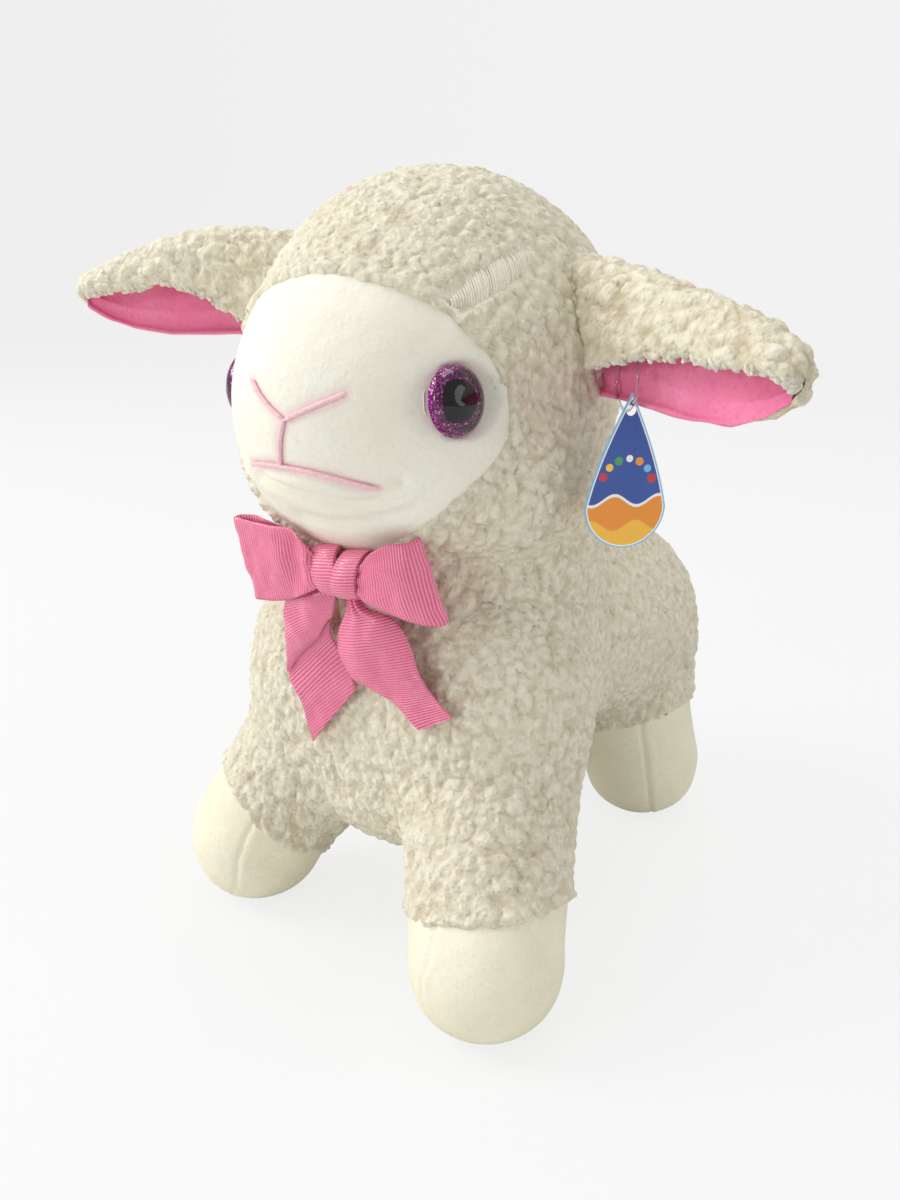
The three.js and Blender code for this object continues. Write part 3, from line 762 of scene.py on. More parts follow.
def face_line(stops, out=0.0, spacing=0.35 * MM):
    """A line over the face through turns and lifts in degrees."""
    ways = [heading(turn, lift) for turn, lift in catmull_rom(stops, 12)]
    spots = np.array([surface_from(head_distance, MUZZLE_CENTRE, way) for way in ways])
    slopes = slope_of(head_distance, spots)
    spots += out * slopes / np.linalg.norm(slopes, axis=1)[:, None]
    return evenly(spots, spacing)


def nearest(points, line):
    return np.sqrt(((points[:, None, :] - line[None, :, :]) ** 2).sum(2)).min(1)


def dip(distance, depth, width):
    """A soft hollow along a line; its depth and width are in millimetres."""
    return depth * MM * np.exp(-((distance / (width * MM)) ** 2))


def muzzle_relief(points):
    """How the velour is pulled in and bulges round the stitching, and how much the thread tints it."""
    threads = np.concatenate([face_line(stops, spacing=MM) for stops in [*NOSE_ARMS, NOSE_STEM, MOUTH]])
    to_thread = nearest(points, threads)
    mouth = nearest(points, face_line(MOUTH, spacing=MM))
    lip = nearest(points, face_line(LIP_FOLD, spacing=MM))
    chin = nearest(points, face_line(CHIN_FOLD, spacing=MM))
    spokes = points - MUZZLE_CENTRE
    lift = np.degrees(np.arcsin(spokes[:, 2] / np.linalg.norm(spokes, axis=1)))
    lower = smoothstep(-20, -24, lift) * smoothstep(-40, -33, lift) * np.exp(-((mouth / (9 * MM)) ** 2))
    lower *= 1 - np.exp(-((mouth / (3 * MM)) ** 2))
    relief = 2.2 * MM * lower - dip(to_thread, 0.6, 1.7) - dip(lip, 2.8, 2.6) - dip(chin, 1.5, 3.0)
    return relief, np.exp(-((to_thread / (2.0 * MM)) ** 2))


# Eyes: sizes in millimetres, turns from straight ahead in degrees
EYE_RADIUS = 10
EYE_DOME = 5.5
EYE_SEAT = -1.25
EYE_TURN = 65
EYE_LIFT = 7
EYE_FACINGS = {"left": 78, "right": 70}
EYE_DEPTHS = {"left": 0.0, "right": 4.8 * MM}
PUPIL_RADIUS = 5.0
PUPIL_STRETCH = 1.15


def eye_frame(side):
    """Where an eye sits and the matrix that turns its axis to the way it faces."""
    sign = 1 if side == "left" else -1
    spot = surface_from(head_distance, MUZZLE_CENTRE, heading(sign * EYE_TURN, EYE_LIFT))
    facing = heading(sign * EYE_FACINGS[side], EYE_LIFT)
    turn = Vector((0, 0, 1)).rotation_difference(Vector(facing)).to_matrix()
    return spot - EYE_DEPTHS[side] * facing, np.array(turn)


EYE_FRAMES = {side: eye_frame(side) for side in ("left", "right")}

# How high the cloth may stand at each reach from an eye's middle, in millimetres
DIMPLE_HEIGHTS = [-3.2, -3.0, -1.1, 0.3, 3.2, 9.0]
VELOUR_DIMPLE = [0, 9.8, 10.6, 12.2, 14.2, 18]
FLEECE_DIMPLE = [0, 9.8, 10.4, 11.6, 13.2, 16]
DIMPLE_REACH = 24 * MM
DIMPLE_DEPTH = -12 * MM


def pressed_by_eyes(points, reaches):
    """Sinks the cloth under each eye and in a soft dimple round it."""
    for spot, turn in EYE_FRAMES.values():
        local = (points - spot) @ turn
        reach = np.linalg.norm(local[:, :2], axis=1)
        ramp = np.interp(reach / MM, reaches, DIMPLE_HEIGHTS) * MM
        near = (reach < DIMPLE_REACH) & (local[:, 2] > DIMPLE_DEPTH)
        local[:, 2] = np.where(near, np.minimum(local[:, 2], ramp), local[:, 2])
        points = local @ turn.T + spot
    return points


# The seam up the inner front of each boot, as angles from the front and reaches in millimetres
BOOT_SEAMS = {
    "front_left": ([-40, -33, -7, -1, 5], [-22, -16.1, -5.6, 4.5, 14]),
    "front_right": ([40, 33, 20, 14, 10], [-22, -14, -4, 6, 20]),
    "rear_left": ([24, 26, 28, 30, 31], [-22, -8, 4, 15, 30]),
    "rear_right": ([-31, -30, -28, -26, -24], [30, 15, 4, -8, -22]),
}


def boot_groove(leg, points):
    angles, reaches = np.array(sorted(zip(*BOOT_SEAMS[leg]), key=lambda pair: pair[1])).T
    seam = np.radians(np.interp(leg_reach(leg, points) / MM, reaches, angles))
    across = (boot_angle(leg, points) - seam) * BOOT_RADIUS
    return dip(np.abs(across), 0.75, 0.9) + dip(np.abs(across - 3 * MM), -0.3, 1.8)


# A short dart in the hood where the pile has parted and its backing threads show
BALD_LINE = np.array([place(34.5, 77.5, 225.6), place(41.5, 63.5, 233.5), place(46.5, 48.5, 240.2)])
BALD_HALF_WIDTH = 4.2 * MM


def bald_patch(points):
    line = evenly(catmull_rom(BALD_LINE, 12), 0.8 * MM)
    reach = nearest(points, line)
    return smoothstep(BALD_HALF_WIDTH + 1.5 * MM, BALD_HALF_WIDTH - 0.8 * MM, reach)


# The body's points: which piece each one belongs to, and how far it lies from that piece's border
FAR = 60 * MM
VOXEL = 4.4 * MM
points, quads, normals = body_surface(VOXEL)
elsewhere = [torso_distance(points)] + [leg_distance(leg, points) for leg in LEGS]
in_head = head_distance(points) < np.min(elsewhere, axis=0)
face_edge = np.where(in_head, face_patch_distance(points), FAR)
boot_edge = np.full(len(points), FAR)
leg_of = np.full(len(points), -1)
for number, leg in enumerate(LEGS):
    start, normal = split_plane(leg)
    side = points[:, 0] > 0 if "left" in leg else points[:, 0] <= 0
    half = points[:, 1] < place(0, 8, 0)[1] if "front" in leg else points[:, 1] > place(0, -36, 0)[1]
    below = (points - start) @ normal > 0
    on_leg = side & half & below & ~in_head
    leg_of[on_leg] = number
    boot_edge[on_leg] = boot_edge_distance(leg, points[on_leg])

# How far each point moves in or out, as fleece and as velour
edge = np.minimum(face_edge, boot_edge)
curls = curl_height(points / CURL_STRETCH, CURL_SIZE, 3)
sag = value_noise(points, 32 * MM, 40)
ragged = np.where(in_head, *EDGE_RAGS) * value_noise(points, 2.6 * MM, 50)
rise = smoothstep(0, EDGE_WIDTH, edge + ragged)
fleece_offset = 0.2 * MM + FLEECE_RISE * curls + FLEECE_SAG * sag
fleece_offset += dip(edge - 2.6 * MM, EDGE_HUMP, 2.2)
fleece_offset = (1 - rise) * -EDGE_SINK + rise * fleece_offset
velour_offset = -VELOUR_SINK + 0.25 * MM * value_noise(points, 12 * MM, 60)
# Painted shade: how much the fleece is painted tan, more in the creases between the curls.
hollow = np.clip(0.5 - 0.5 * curls, 0, 1)
face_near = in_head & (face_edge < TUCK)
face_relief, blush = muzzle_relief(points[face_near])
velour_offset[face_near] += face_relief
blushes = np.zeros(len(points))
blushes[face_near] = blush
for number, leg in enumerate(LEGS):
    on_leg = leg_of == number
    dive = np.clip((FOOT_BALLS[leg] - points[on_leg])[:, 2] / BOOT_RADIUS, 0, 1)
    corner = BOOT_CORNER * 4 * dive**2 * (1 - dive**2)
    velour_offset[on_leg] += corner - boot_groove(leg, points[on_leg])
bald = bald_patch(points) * smoothstep(MM, 4 * MM, face_edge)
fleece_offset = fleece_offset * (1 - bald) - 0.7 * MM * bald


def quad_values(values):
    return values[quads].mean(axis=1)


def cut_piece(name, chosen, offset, material, attributes=()):
    """A piece of the body's surface, moved out by an offset."""
    used, faces = np.unique(quads[chosen], return_inverse=True)
    faces = faces.reshape(-1, 4)
    dimple = FLEECE_DIMPLE if material is fleece else VELOUR_DIMPLE
    moved = pressed_by_eyes(points[used] + offset[used, None] * normals[used], dimple)
    made = mesh_object(name, moved, faces, material)
    for key, values in dict(attributes).items():
        add_point_values(made, key, values[used])
    return made


quad_edge = quad_values(edge)
quad_head = quad_values(in_head.astype(float)) > 0.5
quad_leg = leg_of[quads].min(axis=1)
# The hollow values carry the fleece's painted crease shade.
fleece_look = {"hollow": hollow}
fleece_quads = quad_edge > -1.0 * MM

on_torso = ~quad_head & (quad_leg < 0)
on_face = quad_head & (quad_values(face_edge) < TUCK)
torso = cut_piece("torso_fleece", fleece_quads & on_torso, fleece_offset, fleece, fleece_look)
hood = cut_piece("hood_fleece", fleece_quads & quad_head, fleece_offset, fleece, fleece_look)
face = cut_piece("face_velour", on_face, velour_offset, face_velour, {"blush": blushes})
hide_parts("torso_skin", "torso_stuffing")
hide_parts("head_hood", "head_stuffing")
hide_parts("face_panel")
for made, slot in ((torso, "cream_fleece"), (hood, "cream_fleece"), (face, "cream_velour")):
    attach(made, "torso_and_head")

for number, leg in enumerate(LEGS):
    on_leg = quad_leg == number
    sleeve = cut_piece(leg + "_leg_fleece", fleece_quads & on_leg, fleece_offset, fleece, fleece_look)
    boot = cut_piece(leg + "_boot_velour", on_leg & (quad_values(boot_edge) < TUCK), velour_offset, velour)
    start, normal = split_plane(leg)
    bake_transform(sleeve)
    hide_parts(leg + "_leg_sleeve", leg + "_leg_stuffing")
    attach(boot, leg + "_leg")
    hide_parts(leg + "_foot_boot")


# Ears: a folded layer of fleece round a folded pink lining
EAR_ROOT = (44, 26, 219)
EAR_LENGTH = 90
EAR_BURIED = 12
EAR_HALF_HEIGHT = 24
EAR_FOLD_DEPTH = 9.5
EAR_SWEEP = 25
EAR_RISES = {"left": -8, "right": 6}
EAR_FLEECE = 4.5
EAR_GAP = 0.7
EAR_LINING = 1.5
EAR_FULLNESS = {
    "left": [0.86, 0.88, 0.87, 0.84, 0.8, 0.75, 0.66, 0.48],
    "right": [0.85, 0.84, 0.82, 0.8, 0.81, 0.76, 0.6, 0.4],
}
EAR_LIFTS = {
    "left": [0, 1.3, 2.0, 2.4, 2.4, 1.8, 2.5, 4.0],
    "right": [3.0, 5.0, 6.5, 7.0, 5.2, 2.1, -1.2, -3.0],
}
EAR_TIP_ROUND = 7
# Painted shade: a base share of tan painted over each ear's fleece, larger on the left ear, which is
# painted the darker.
EAR_PAINTED_SHADE = {"left": 0.68, "right": 0.4}
EAR_FRONT_RIMS = {
    "left": [-60, -50, -38, -18, -2, 12, 15, 20],
    "right": [-58, -56, -50, -40, -8, 10, 12, 12],
}
EAR_BACK_RIMS = {
    "left": [228, 226, 224, 222, 226, 232, 240, 246],
    "right": [222, 222, 222, 222, 222, 222, 226, 232],
}
EAR_LINING_RIMS = [266] * 8
# Marks of the rims among the points of a layer
BACK_RIM = 0.4
FRONT_RIM = 0.6
# Curls and fringe of the ears' fleece
EAR_CURL_STRETCH = np.array([1.25, 1, 1])
EAR_CURL_SIZE = 4.4 * MM
EAR_CURL_SEEDS = {"left": 9, "right": 19}
EAR_SEEDS = {"left": 130, "right": 140}
FRINGE_SHARE = 0.4
FRINGE_SINK = 0.4 * MM
FRINGE_CLEARANCE = 5 * MM


def along_ear(along, values):
    share = np.clip((along + EAR_BURIED) / (EAR_LENGTH + EAR_BURIED), 0, 1)
    return np.interp(share, np.linspace(0, 1, len(values)), values)


def ear_point(side, along, angle, outset):
    """A point of an ear's folded form in its own frame, in millimetres, at an angle in degrees."""
    height = np.maximum(EAR_HALF_HEIGHT * along_ear(along, EAR_FULLNESS[side]), EAR_FOLD_DEPTH)
    beyond = np.clip((along - EAR_LENGTH + EAR_TIP_ROUND) / (2 * EAR_TIP_ROUND), 0, 1)
    closing = np.sqrt(np.maximum(1 - beyond**2, 0.0))
    across = -(EAR_FOLD_DEPTH * closing - outset) * np.cos(np.radians(angle))
    up = (height * closing - outset) * np.sin(np.radians(angle))
    return np.stack([along, across, up + along_ear(along, EAR_LIFTS[side])], -1)


def ear_to_world(side, local):
    turn = turned_about((0, 0, 1), -EAR_SWEEP) @ turned_about((0, 1, 0), -EAR_RISES[side])
    placed = local * MM @ turn.T + place(*EAR_ROOT)
    if side == "right":
        placed[..., 0] = 2 * ORIGIN[0] - placed[..., 0]
    return placed


def ear_shell(side, outset, thickness, back_rims, last, spacing, flare=0.0):
    """A folded layer as a closed mesh with rounded rims; its flare covers the back rim of the fleece.

    Each point also has its kind: 1 outside, 0 inside, and between on the rims.
    """
    first = 4 - EAR_BURIED
    rows = int((last - first) / spacing) + 1
    columns = int(80 / spacing) + 1
    rings, kinds = [], []
    for along in np.linspace(first, last, rows):
        angles = np.linspace(along_ear(along, EAR_FRONT_RIMS[side]), along_ear(along, back_rims), columns)
        seam = along_ear(along, EAR_BACK_RIMS[side])
        outsets = outset - flare * smoothstep(seam + 9, seam + 27, angles)
        stations = np.full(columns, along)
        outer = ear_point(side, stations, angles, outsets)
        inner = ear_point(side, stations, angles, outsets + thickness)
        caps = []
        for end, beside, turns in ((-1, -2, (45, 0, -45)), (0, 1, (-45, 0, 45))):
            middle = (outer[end] + inner[end]) / 2
            outwards = unit(outer[end] - outer[beside]) * thickness / 2
            for turn in np.radians(turns):
                caps.append(middle + outwards * math.cos(turn) + (outer[end] - middle) * math.sin(turn))
        rings.append(np.concatenate([outer, caps[:3], inner[::-1], caps[3:]]))
        kinds.append([1.0] * columns + [BACK_RIM] * 3 + [0.0] * columns + [FRONT_RIM] * 3)
    rings, kinds = np.array(rings), np.array(kinds)
    placed = ear_to_world(side, rings.reshape(-1, 3)).reshape(rings.shape)
    points, faces = closed_loft(placed)
    return points, faces, np.concatenate([kinds.ravel(), [kinds[0].mean(), kinds[-1].mean()]])


def displaced(made, offset):
    """Moves the points of a mesh along their own normals."""
    mesh = made.data
    moved = points_of(mesh) + offset[:, None] * normals_of(mesh)
    mesh.vertices.foreach_set("co", moved.ravel())
    mesh.update()


def add_ear_fringe(side, mesh, kinds):
    seed = EAR_SEEDS[side]
    outwards, places = normals_of(mesh), points_of(mesh)
    clear_of_hood = head_distance(places) > FRINGE_CLEARANCE
    rims = np.flatnonzero((kinds > FRONT_RIM - 0.05) & (kinds < FRONT_RIM + 0.1) & clear_of_hood)
    picked = np.random.default_rng(seed).choice(rims, int(FRINGE_SHARE * len(rims)), replace=False)
    roots = places[picked] - FRINGE_SINK * outwards[picked]
    fringe = add_tufts(side + "_ear_fringe", roots, outwards[picked], seed + 1)
    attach(fringe, side + "_ear")
    return fringe


def add_ear(side):
    places, faces, kinds = ear_shell(side, 0.6, EAR_FLEECE - 0.6, EAR_BACK_RIMS[side], EAR_LENGTH + 5, 1.0)
    shell = outward(mesh_object(side + "_ear_curls", places, faces, fleece))
    heights = curl_height(places / EAR_CURL_STRETCH, EAR_CURL_SIZE, EAR_CURL_SEEDS[side])
    displaced(shell, (0.2 * MM + FLEECE_RISE * heights) * kinds)
    # Painted shade: the ear's fleece is painted tan in its creases, on top of the ear's overall painted
    # shade.
    add_point_values(shell, "hollow", np.clip(EAR_PAINTED_SHADE[side] - 0.5 * heights, 0, 1))
    outset = EAR_FLEECE + EAR_GAP + 0.2
    places, faces, _ = ear_shell(side, outset, EAR_LINING, EAR_LINING_RIMS, EAR_LENGTH + 2.5, 1.3, 4.2)
    lining = outward(mesh_object(side + "_ear_velour", places, faces, pink_velour))
    displaced(lining, 0.35 * MM * value_noise(places, 9 * MM, 70))
    fringe = add_ear_fringe(side, shell.data, kinds)
    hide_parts(side + "_ear_fleece")
    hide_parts(side + "_ear_lining")
    for made, slot in ((shell, "cream_fleece"), (lining, "pink_velour")):
        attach(made, side + "_ear")


for ear_side in ("left", "right"):
    add_ear(ear_side)


# Tail: an egg that leans back from the rump
TAIL_RADII = np.array([11, 8.5, 17]) * MM
TAIL_DROP = np.array([0, 0, -8.5]) * MM
TAIL_LEAN = 40
TAIL_HEIGHT = 122


def add_tail():
    rump = surface_from(torso_distance, place(0, -37, TAIL_HEIGHT), np.array([0.0, 1.0, 0.0]))
    pattern, faces = ball_pattern(5)
    placed = (pattern * TAIL_RADII + TAIL_DROP) @ turned_about((1, 0, 0), TAIL_LEAN).T + rump
    tail = mesh_object("tail_curls", placed, faces, fleece)
    heights = curl_height(placed, 4.0 * MM, 29)
    displaced(tail, 1.1 * MM * heights)
    # Painted shade: the tail is painted tan in the creases between its curls.
    add_point_values(tail, "hollow", np.clip(0.5 - 0.5 * heights, 0, 1))
    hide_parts("tail")
    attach(tail, "tail")


add_tail()


# Bow of ribbed ribbon
RIB_PITCH = 0.98
RIB_HEIGHT = 0.26
RIBBON_THICKNESS = 0.7
RIBBON_WIDTH = 25
ACROSS = 24
PLEAT_REACH = 8


def ribbon_strip(name, rows, bulges, ribs=None, pleat=0.0, crumple=0.8):
    """A ribbon whose two edges run through the rows, in millimetres to the left, forward and up.

    A bulge pushes the middle of a row forward. The ribs run along the rows,
    or square to the direction that ribs gives. A pleat is the depth of the
    gathers at the first row, and they die out away from there.
    """
    table = np.array([[*a, *b, bulge] for (a, b), bulge in zip(rows, bulges)], float)
    fine = catmull_rom(table, 24)
    middle = (fine[:, :3] + fine[:, 3:6]) / 2
    reach = np.concatenate([[0], np.cumsum(np.linalg.norm(np.diff(middle, axis=0), axis=1))])
    stations = max(8, int(reach[-1] / (RIB_PITCH / 4)))
    where = np.linspace(0, reach[-1], stations)
    fine = np.stack([np.interp(where, reach, fine[:, k]) for k in range(7)], 1)
    shares = np.linspace(0, 1, ACROSS)
    centre = fine[:, None, :3] * (1 - shares[None, :, None]) + fine[:, None, 3:6] * shares[None, :, None]
    centre[..., 1] += fine[:, None, 6] * (1 - (2 * shares[None] - 1) ** 2)
    gather = pleat * np.exp(-where / PLEAT_REACH)
    centre[..., 1] += gather[:, None] * np.cos(5 * math.pi * shares)[None]
    dents = value_noise(centre.reshape(-1, 3), 8, 150) + 0.5 * value_noise(centre.reshape(-1, 3), 3.6, 151)
    dents = dents.reshape(centre.shape[:2])
    centre[..., 1] += crumple * dents
    along = np.gradient(centre, axis=0)
    across = np.gradient(centre, axis=1)
    facing = np.cross(along, across)
    facing /= np.maximum(np.linalg.norm(facing, axis=2), 1e-9)[..., None]
    if ribs is None:
        phase = np.repeat(where[:, None], ACROSS, axis=1) / RIB_PITCH
    else:
        phase = centre @ unit(np.array(ribs, float)) / RIB_PITCH
    crest = np.abs(np.sin(math.pi * phase))
    half = RIBBON_THICKNESS / 2 - RIB_HEIGHT + RIB_HEIGHT * crest
    half[:, [0, -1]] *= 0.75
    front = centre + facing * half[..., None]
    back = centre - facing * half[..., None]
    rings = np.concatenate([front, back[:, ::-1]], axis=1)
    # The crest values also drive the ribbon's painted highlight on the crests and painted shade in the
    # valleys.
    values = np.concatenate([crest, crest[:, ::-1]], axis=1)
    world = rings * np.array([1, -1, 1]) * MM + ORIGIN
    points_, faces = closed_loft(world)
    made = outward(mesh_object(name, points_, faces, ribbon))
    add_point_values(made, "crest", np.concatenate([values.ravel(), [0.5, 0.5]]))
    return made, reach[-1]


BOW_RIGHT_LOOP = [
    ((1.3, 90, 148.4), (2.1, 90, 143.0)),
    ((-4.6, 91, 150.6), (-2.0, 91, 141.8)),
    ((-8.6, 92.5, 155.6), (-6.0, 91, 139.1)),
    ((-13.4, 91.5, 158.2), (-11.0, 91, 136.6)),
    ((-21.3, 91.5, 158.1), (-18.1, 88.5, 133.2)),
    ((-30.5, 90, 157.8), (-27.5, 88, 131.2)),
    ((-39.5, 88, 157.5), (-33.4, 86.6, 130.2)),
    ((-41.2, 86.8, 157.3), (-34.6, 85.6, 130.0)),
    ((-40.2, 84.5, 157.6), (-33.9, 83.6, 130.0)),
    ((-33.5, 82.5, 157.2), (-26.8, 81.6, 130.8)),
    ((-20.2, 83.5, 154.1), (-14.5, 82.5, 135.5)),
    ((-4.7, 86, 148.1), (-3.0, 86, 141.0)),
    ((1.3, 87, 146.4), (2.1, 87, 143.0)),
]
BOW_RIGHT_BULGES = [0, 0.5, 1.5, -1.5, 1.8, 0.4, 0, 0, 0, 0, 0, 0, 0]
BOW_LEFT_LOOP = [
    ((8.2, 90, 148.4), (8.0, 90, 141.9)),
    ((12.2, 91, 149.6), (12.0, 90.5, 139.9)),
    ((16.6, 92, 154.4), (17.8, 91, 138.0)),
    ((22.4, 92, 158.3), (27.8, 91, 136.2)),
    ((27.0, 90.5, 159.0), (35.1, 89.5, 135.2)),
    ((29.2, 88, 159.8), (39.2, 87, 135.0)),
    ((29.6, 86.4, 160.2), (40.2, 85.8, 136.0)),
    ((28.6, 84.4, 160.1), (39.0, 84.0, 136.2)),
    ((23.6, 82, 158.9), (31.1, 81.6, 133.4)),
    ((15.9, 81, 155.9), (20.6, 80.6, 132.8)),
    ((11.6, 83, 150.4), (11.6, 83, 136.1)),
    ((7.9, 86, 146.2), (7.8, 86, 140.3)),
]
BOW_LEFT_BULGES = [0, 0.3, 1.2, 1.5, 1.2, 0.5, 0, 0, 0, 0, 0, 0]
RIGHT_TAIL_UPPER = [
    ((-4.6, 86.5, 141.6), (0.4, 86.5, 140.2)),
    ((-12.4, 87, 138.4), (-0.4, 87.6, 136.0)),
    ((-20.4, 87, 132.4), (-1.6, 87, 130.8)),
    ((-22.4, 86, 121.5), (-5.0, 86.4, 127.0)),
    ((-23.2, 85, 112.5), (-9.8, 85.4, 120.5)),
    ((-23.9, 84, 105.2), (-18.6, 84, 112.5)),
]
RIGHT_TAIL_LOWER = [
    ((-24.0, 83.2, 105.8), (-4.6, 84.4, 128.0)),
    ((-23.6, 82.6, 102.4), (-5.8, 81.8, 122.4)),
    ((-19.6, 82, 94.8), (-4.2, 80.6, 117.4)),
    ((-17.9, 81.4, 87.1), (-0.4, 80.2, 111.4)),
    ((-16.7, 81, 79.9), (2.3, 80.2, 104.0)),
]
LEFT_TAIL = [
    ((5.4, 87.5, 140.4), (8.6, 87.5, 140.6)),
    ((6.4, 88.5, 135.9), (12.0, 88.5, 136.3)),
    ((2.6, 87.4, 129.9), (19.1, 85.4, 134.0)),
    ((-0.3, 86.6, 123.5), (22.8, 84, 129.5)),
    ((-0.1, 85.4, 115.5), (25.8, 83, 122.4)),
    ((5.4, 83.4, 108.1), (28.4, 82, 114.5)),
    ((16.5, 82, 103.9), (32.2, 81.4, 109.2)),
    ((27.4, 81, 95.9), (39.5, 80.6, 103.2)),
]


def joined(pieces):
    """Makes one object of several, under the first one's name."""
    with bpy.context.temp_override(active_object=pieces[0], selected_editable_objects=pieces):
        bpy.ops.object.join()
    return pieces[0]


def knot_layer(name, low, high, slant, depth, inset):
    """One layer of a strip wound over the middle of the bow."""
    rows = []
    for angle in np.radians(np.linspace(-118, 118, 13)):
        lift, out = (7.6 - inset) * math.sin(angle), (depth - inset) * math.cos(angle)
        shift = -slant * math.sin(angle)
        rows.append(((low + shift, 86 + out, 145 + lift), (high + shift, 86 + out, 145 + lift + 1.2)))
    return ribbon_strip(name, rows, [0.9] * len(rows), crumple=0.4)


def declare_ribbon(length):
    """Turns the ribbon's width and this length into metres, and keeps neither."""
    width, length = RIBBON_WIDTH * MM, length * MM


def add_bow():
    for side, rows, loop_bulges in (
        ("right", BOW_RIGHT_LOOP, BOW_RIGHT_BULGES),
        ("left", BOW_LEFT_LOOP, BOW_LEFT_BULGES),
    ):
        name = f"bow_{side}_loop_ribbon"
        loop, length = ribbon_strip(name, rows, loop_bulges, pleat=1.0, crumple=1.1)
        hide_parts(f"bow_{side}_loop")
        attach(loop, "torso_and_head")
        declare_ribbon(length)
    upper, upper_length = ribbon_strip(
        "bow_right_tail_ribbon", RIGHT_TAIL_UPPER, [0, 1.0, 1.5, 1.4, 0.8, 0], ribs=(0.75, 0, 0.66)
    )
    lower, lower_length = ribbon_strip(
        "bow_right_tail_lower", RIGHT_TAIL_LOWER, [0, 1.0, 1.4, 1.2, 0.8], ribs=(0.28, 0, 0.96)
    )
    joined([upper, lower])
    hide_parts("bow_right_tail")
    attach(upper, "bow_tail_right")
    declare_ribbon(upper_length + lower_length)
    bulges = [0, 1.0, 3.2, 4.2, 3.4, 1.6, 0.8, 0.4]
    tail, length = ribbon_strip("bow_left_tail_ribbon", LEFT_TAIL, bulges, pleat=1.7, crumple=1.1)
    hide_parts("bow_left_tail")
    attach(tail, "bow_tail_left")
    declare_ribbon(length)
    for name, low, high, slant, depth in (
        ("bow_knot_band", -5.4, 4.2, 2.4, 6.4),
        ("bow_knot_wrap", 3.2, 12.0, -0.8, 7.4),
    ):
        outer, length = knot_layer(name, low, high, slant, depth, 0)
        inner, _ = knot_layer(name + "_inner", low, high, slant, depth, 0.8)
        band = joined([outer, inner])
        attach(band, "torso_and_head")
        declare_ribbon(length)
        if name == "bow_knot_band":
            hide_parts("bow_knot")


add_bow()


# Eye hardware
LATHE_STEPS = 64


def lathe(profile):
    """Points and faces of a turned solid, from its (radius, height) outline."""
    turns = np.linspace(0, 2 * math.pi, LATHE_STEPS, endpoint=False)
    circle = np.stack([np.cos(turns), np.sin(turns), np.ones(LATHE_STEPS)], 1)
    return closed_loft([circle * [radius * MM, radius * MM, height * MM] for radius, height in profile])


def eye_material():
    made = Nodes("glitter_and_pupil", Roughness=0.35, Specular_IOR_Level=0.05)
    radius = made.attribute("radius")
    flake = made.cells(2600)
    tone = flake["Color"]
    sparkle = made.add("SeparateColor", {"Color": tone}).outputs
    # Painted glints: flakes are painted lighter and darker purple at random, and a few near-white, to
    # stand for glitter that catches the light.
    light = made.spread(sparkle["Red"], 0.55, 1.0)
    ring = made.mix(light, srgb(112, 22, 96), srgb(226, 96, 196))
    ring = made.mix(made.spread(sparkle["Green"], 0.9, 0.95), ring, srgb(255, 214, 245))
    ink = made.spread(radius, PUPIL_RADIUS, PUPIL_RADIUS + 0.15)
    made.colour(made.mix(ink, srgb(10, 8, 12), ring))
    metal = made.math("MULTIPLY", ink, 0.6)
    made.tree.links.new(metal, made.shader.inputs["Metallic"])
    made.bump((made.math("MULTIPLY", sparkle["Blue"], ink), 0.12 * MM))
    return made.material


glitter = eye_material()


def dome_profile():
    angles = np.linspace(0, math.pi / 2, 16)
    dome = [(EYE_RADIUS * math.cos(a), EYE_DOME * math.sin(a)) for a in angles[:-1]]
    base = [(0.05, EYE_SEAT), (9.3, EYE_SEAT), (9.7, -0.9), (9.85, -0.3)]
    return base + dome + [(0.05, EYE_DOME)]


def glitter_profile():
    """A flat disc whose rim rises under the dome, with a collar round the dome's foot."""
    profile = []
    for radius in [0.05, *np.linspace(0.5, 9.8, 41)]:
        under_dome = EYE_DOME * math.sqrt(1 - (radius / EYE_RADIUS) ** 2) - 0.15
        profile.append((radius, -1 + (under_dome + 1) * smoothstep(5.9, 8.6, radius)))
    return profile + [(9.9, 0.5), (10.06, 0.35), (10.08, -1.0), (9.5, -1.35), (0.05, -1.35)]


def add_eyes():
    for side in ("left", "right"):
        spot, turn = EYE_FRAMES[side]
        points_, faces = lathe(dome_profile())
        shell = outward(mesh_object(side + "_eye_dome", points_ @ turn.T + spot, faces, clear))
        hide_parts(side + "_eye")
        points_, faces = lathe(glitter_profile())
        disc = outward(mesh_object(side + "_eye_glitter", points_ @ turn.T + spot, faces, glitter))
        level = unit(np.array([-turn[1, 2], turn[0, 2]]))
        along = points_[:, :2] @ level / PUPIL_STRETCH
        upright = points_[:, :2] @ np.array([-level[1], level[0]])
        add_point_values(disc, "radius", np.hypot(along, upright) / MM)
        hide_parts(side + "_eye_glitter_disc")
        for made in (shell, disc):
            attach(made, "torso_and_head")


add_eyes()


# Pink stitching on the muzzle
STITCH_RADIUS = 0.7
STITCH_TAPER = 1.5
STITCH_LENGTH = 2.9
STITCH_STEP = 0.35


def stitch_tube(path):
    reach = np.arange(len(path)) * STITCH_STEP
    ends = np.minimum(np.minimum(reach, reach[::-1]) / STITCH_TAPER, 1)
    waves = np.abs(np.sin(reach * math.pi / STITCH_LENGTH))
    return tube(path, STITCH_RADIUS * MM * (0.45 + 0.55 * np.sqrt(ends)) * (0.86 + 0.14 * waves), 10)


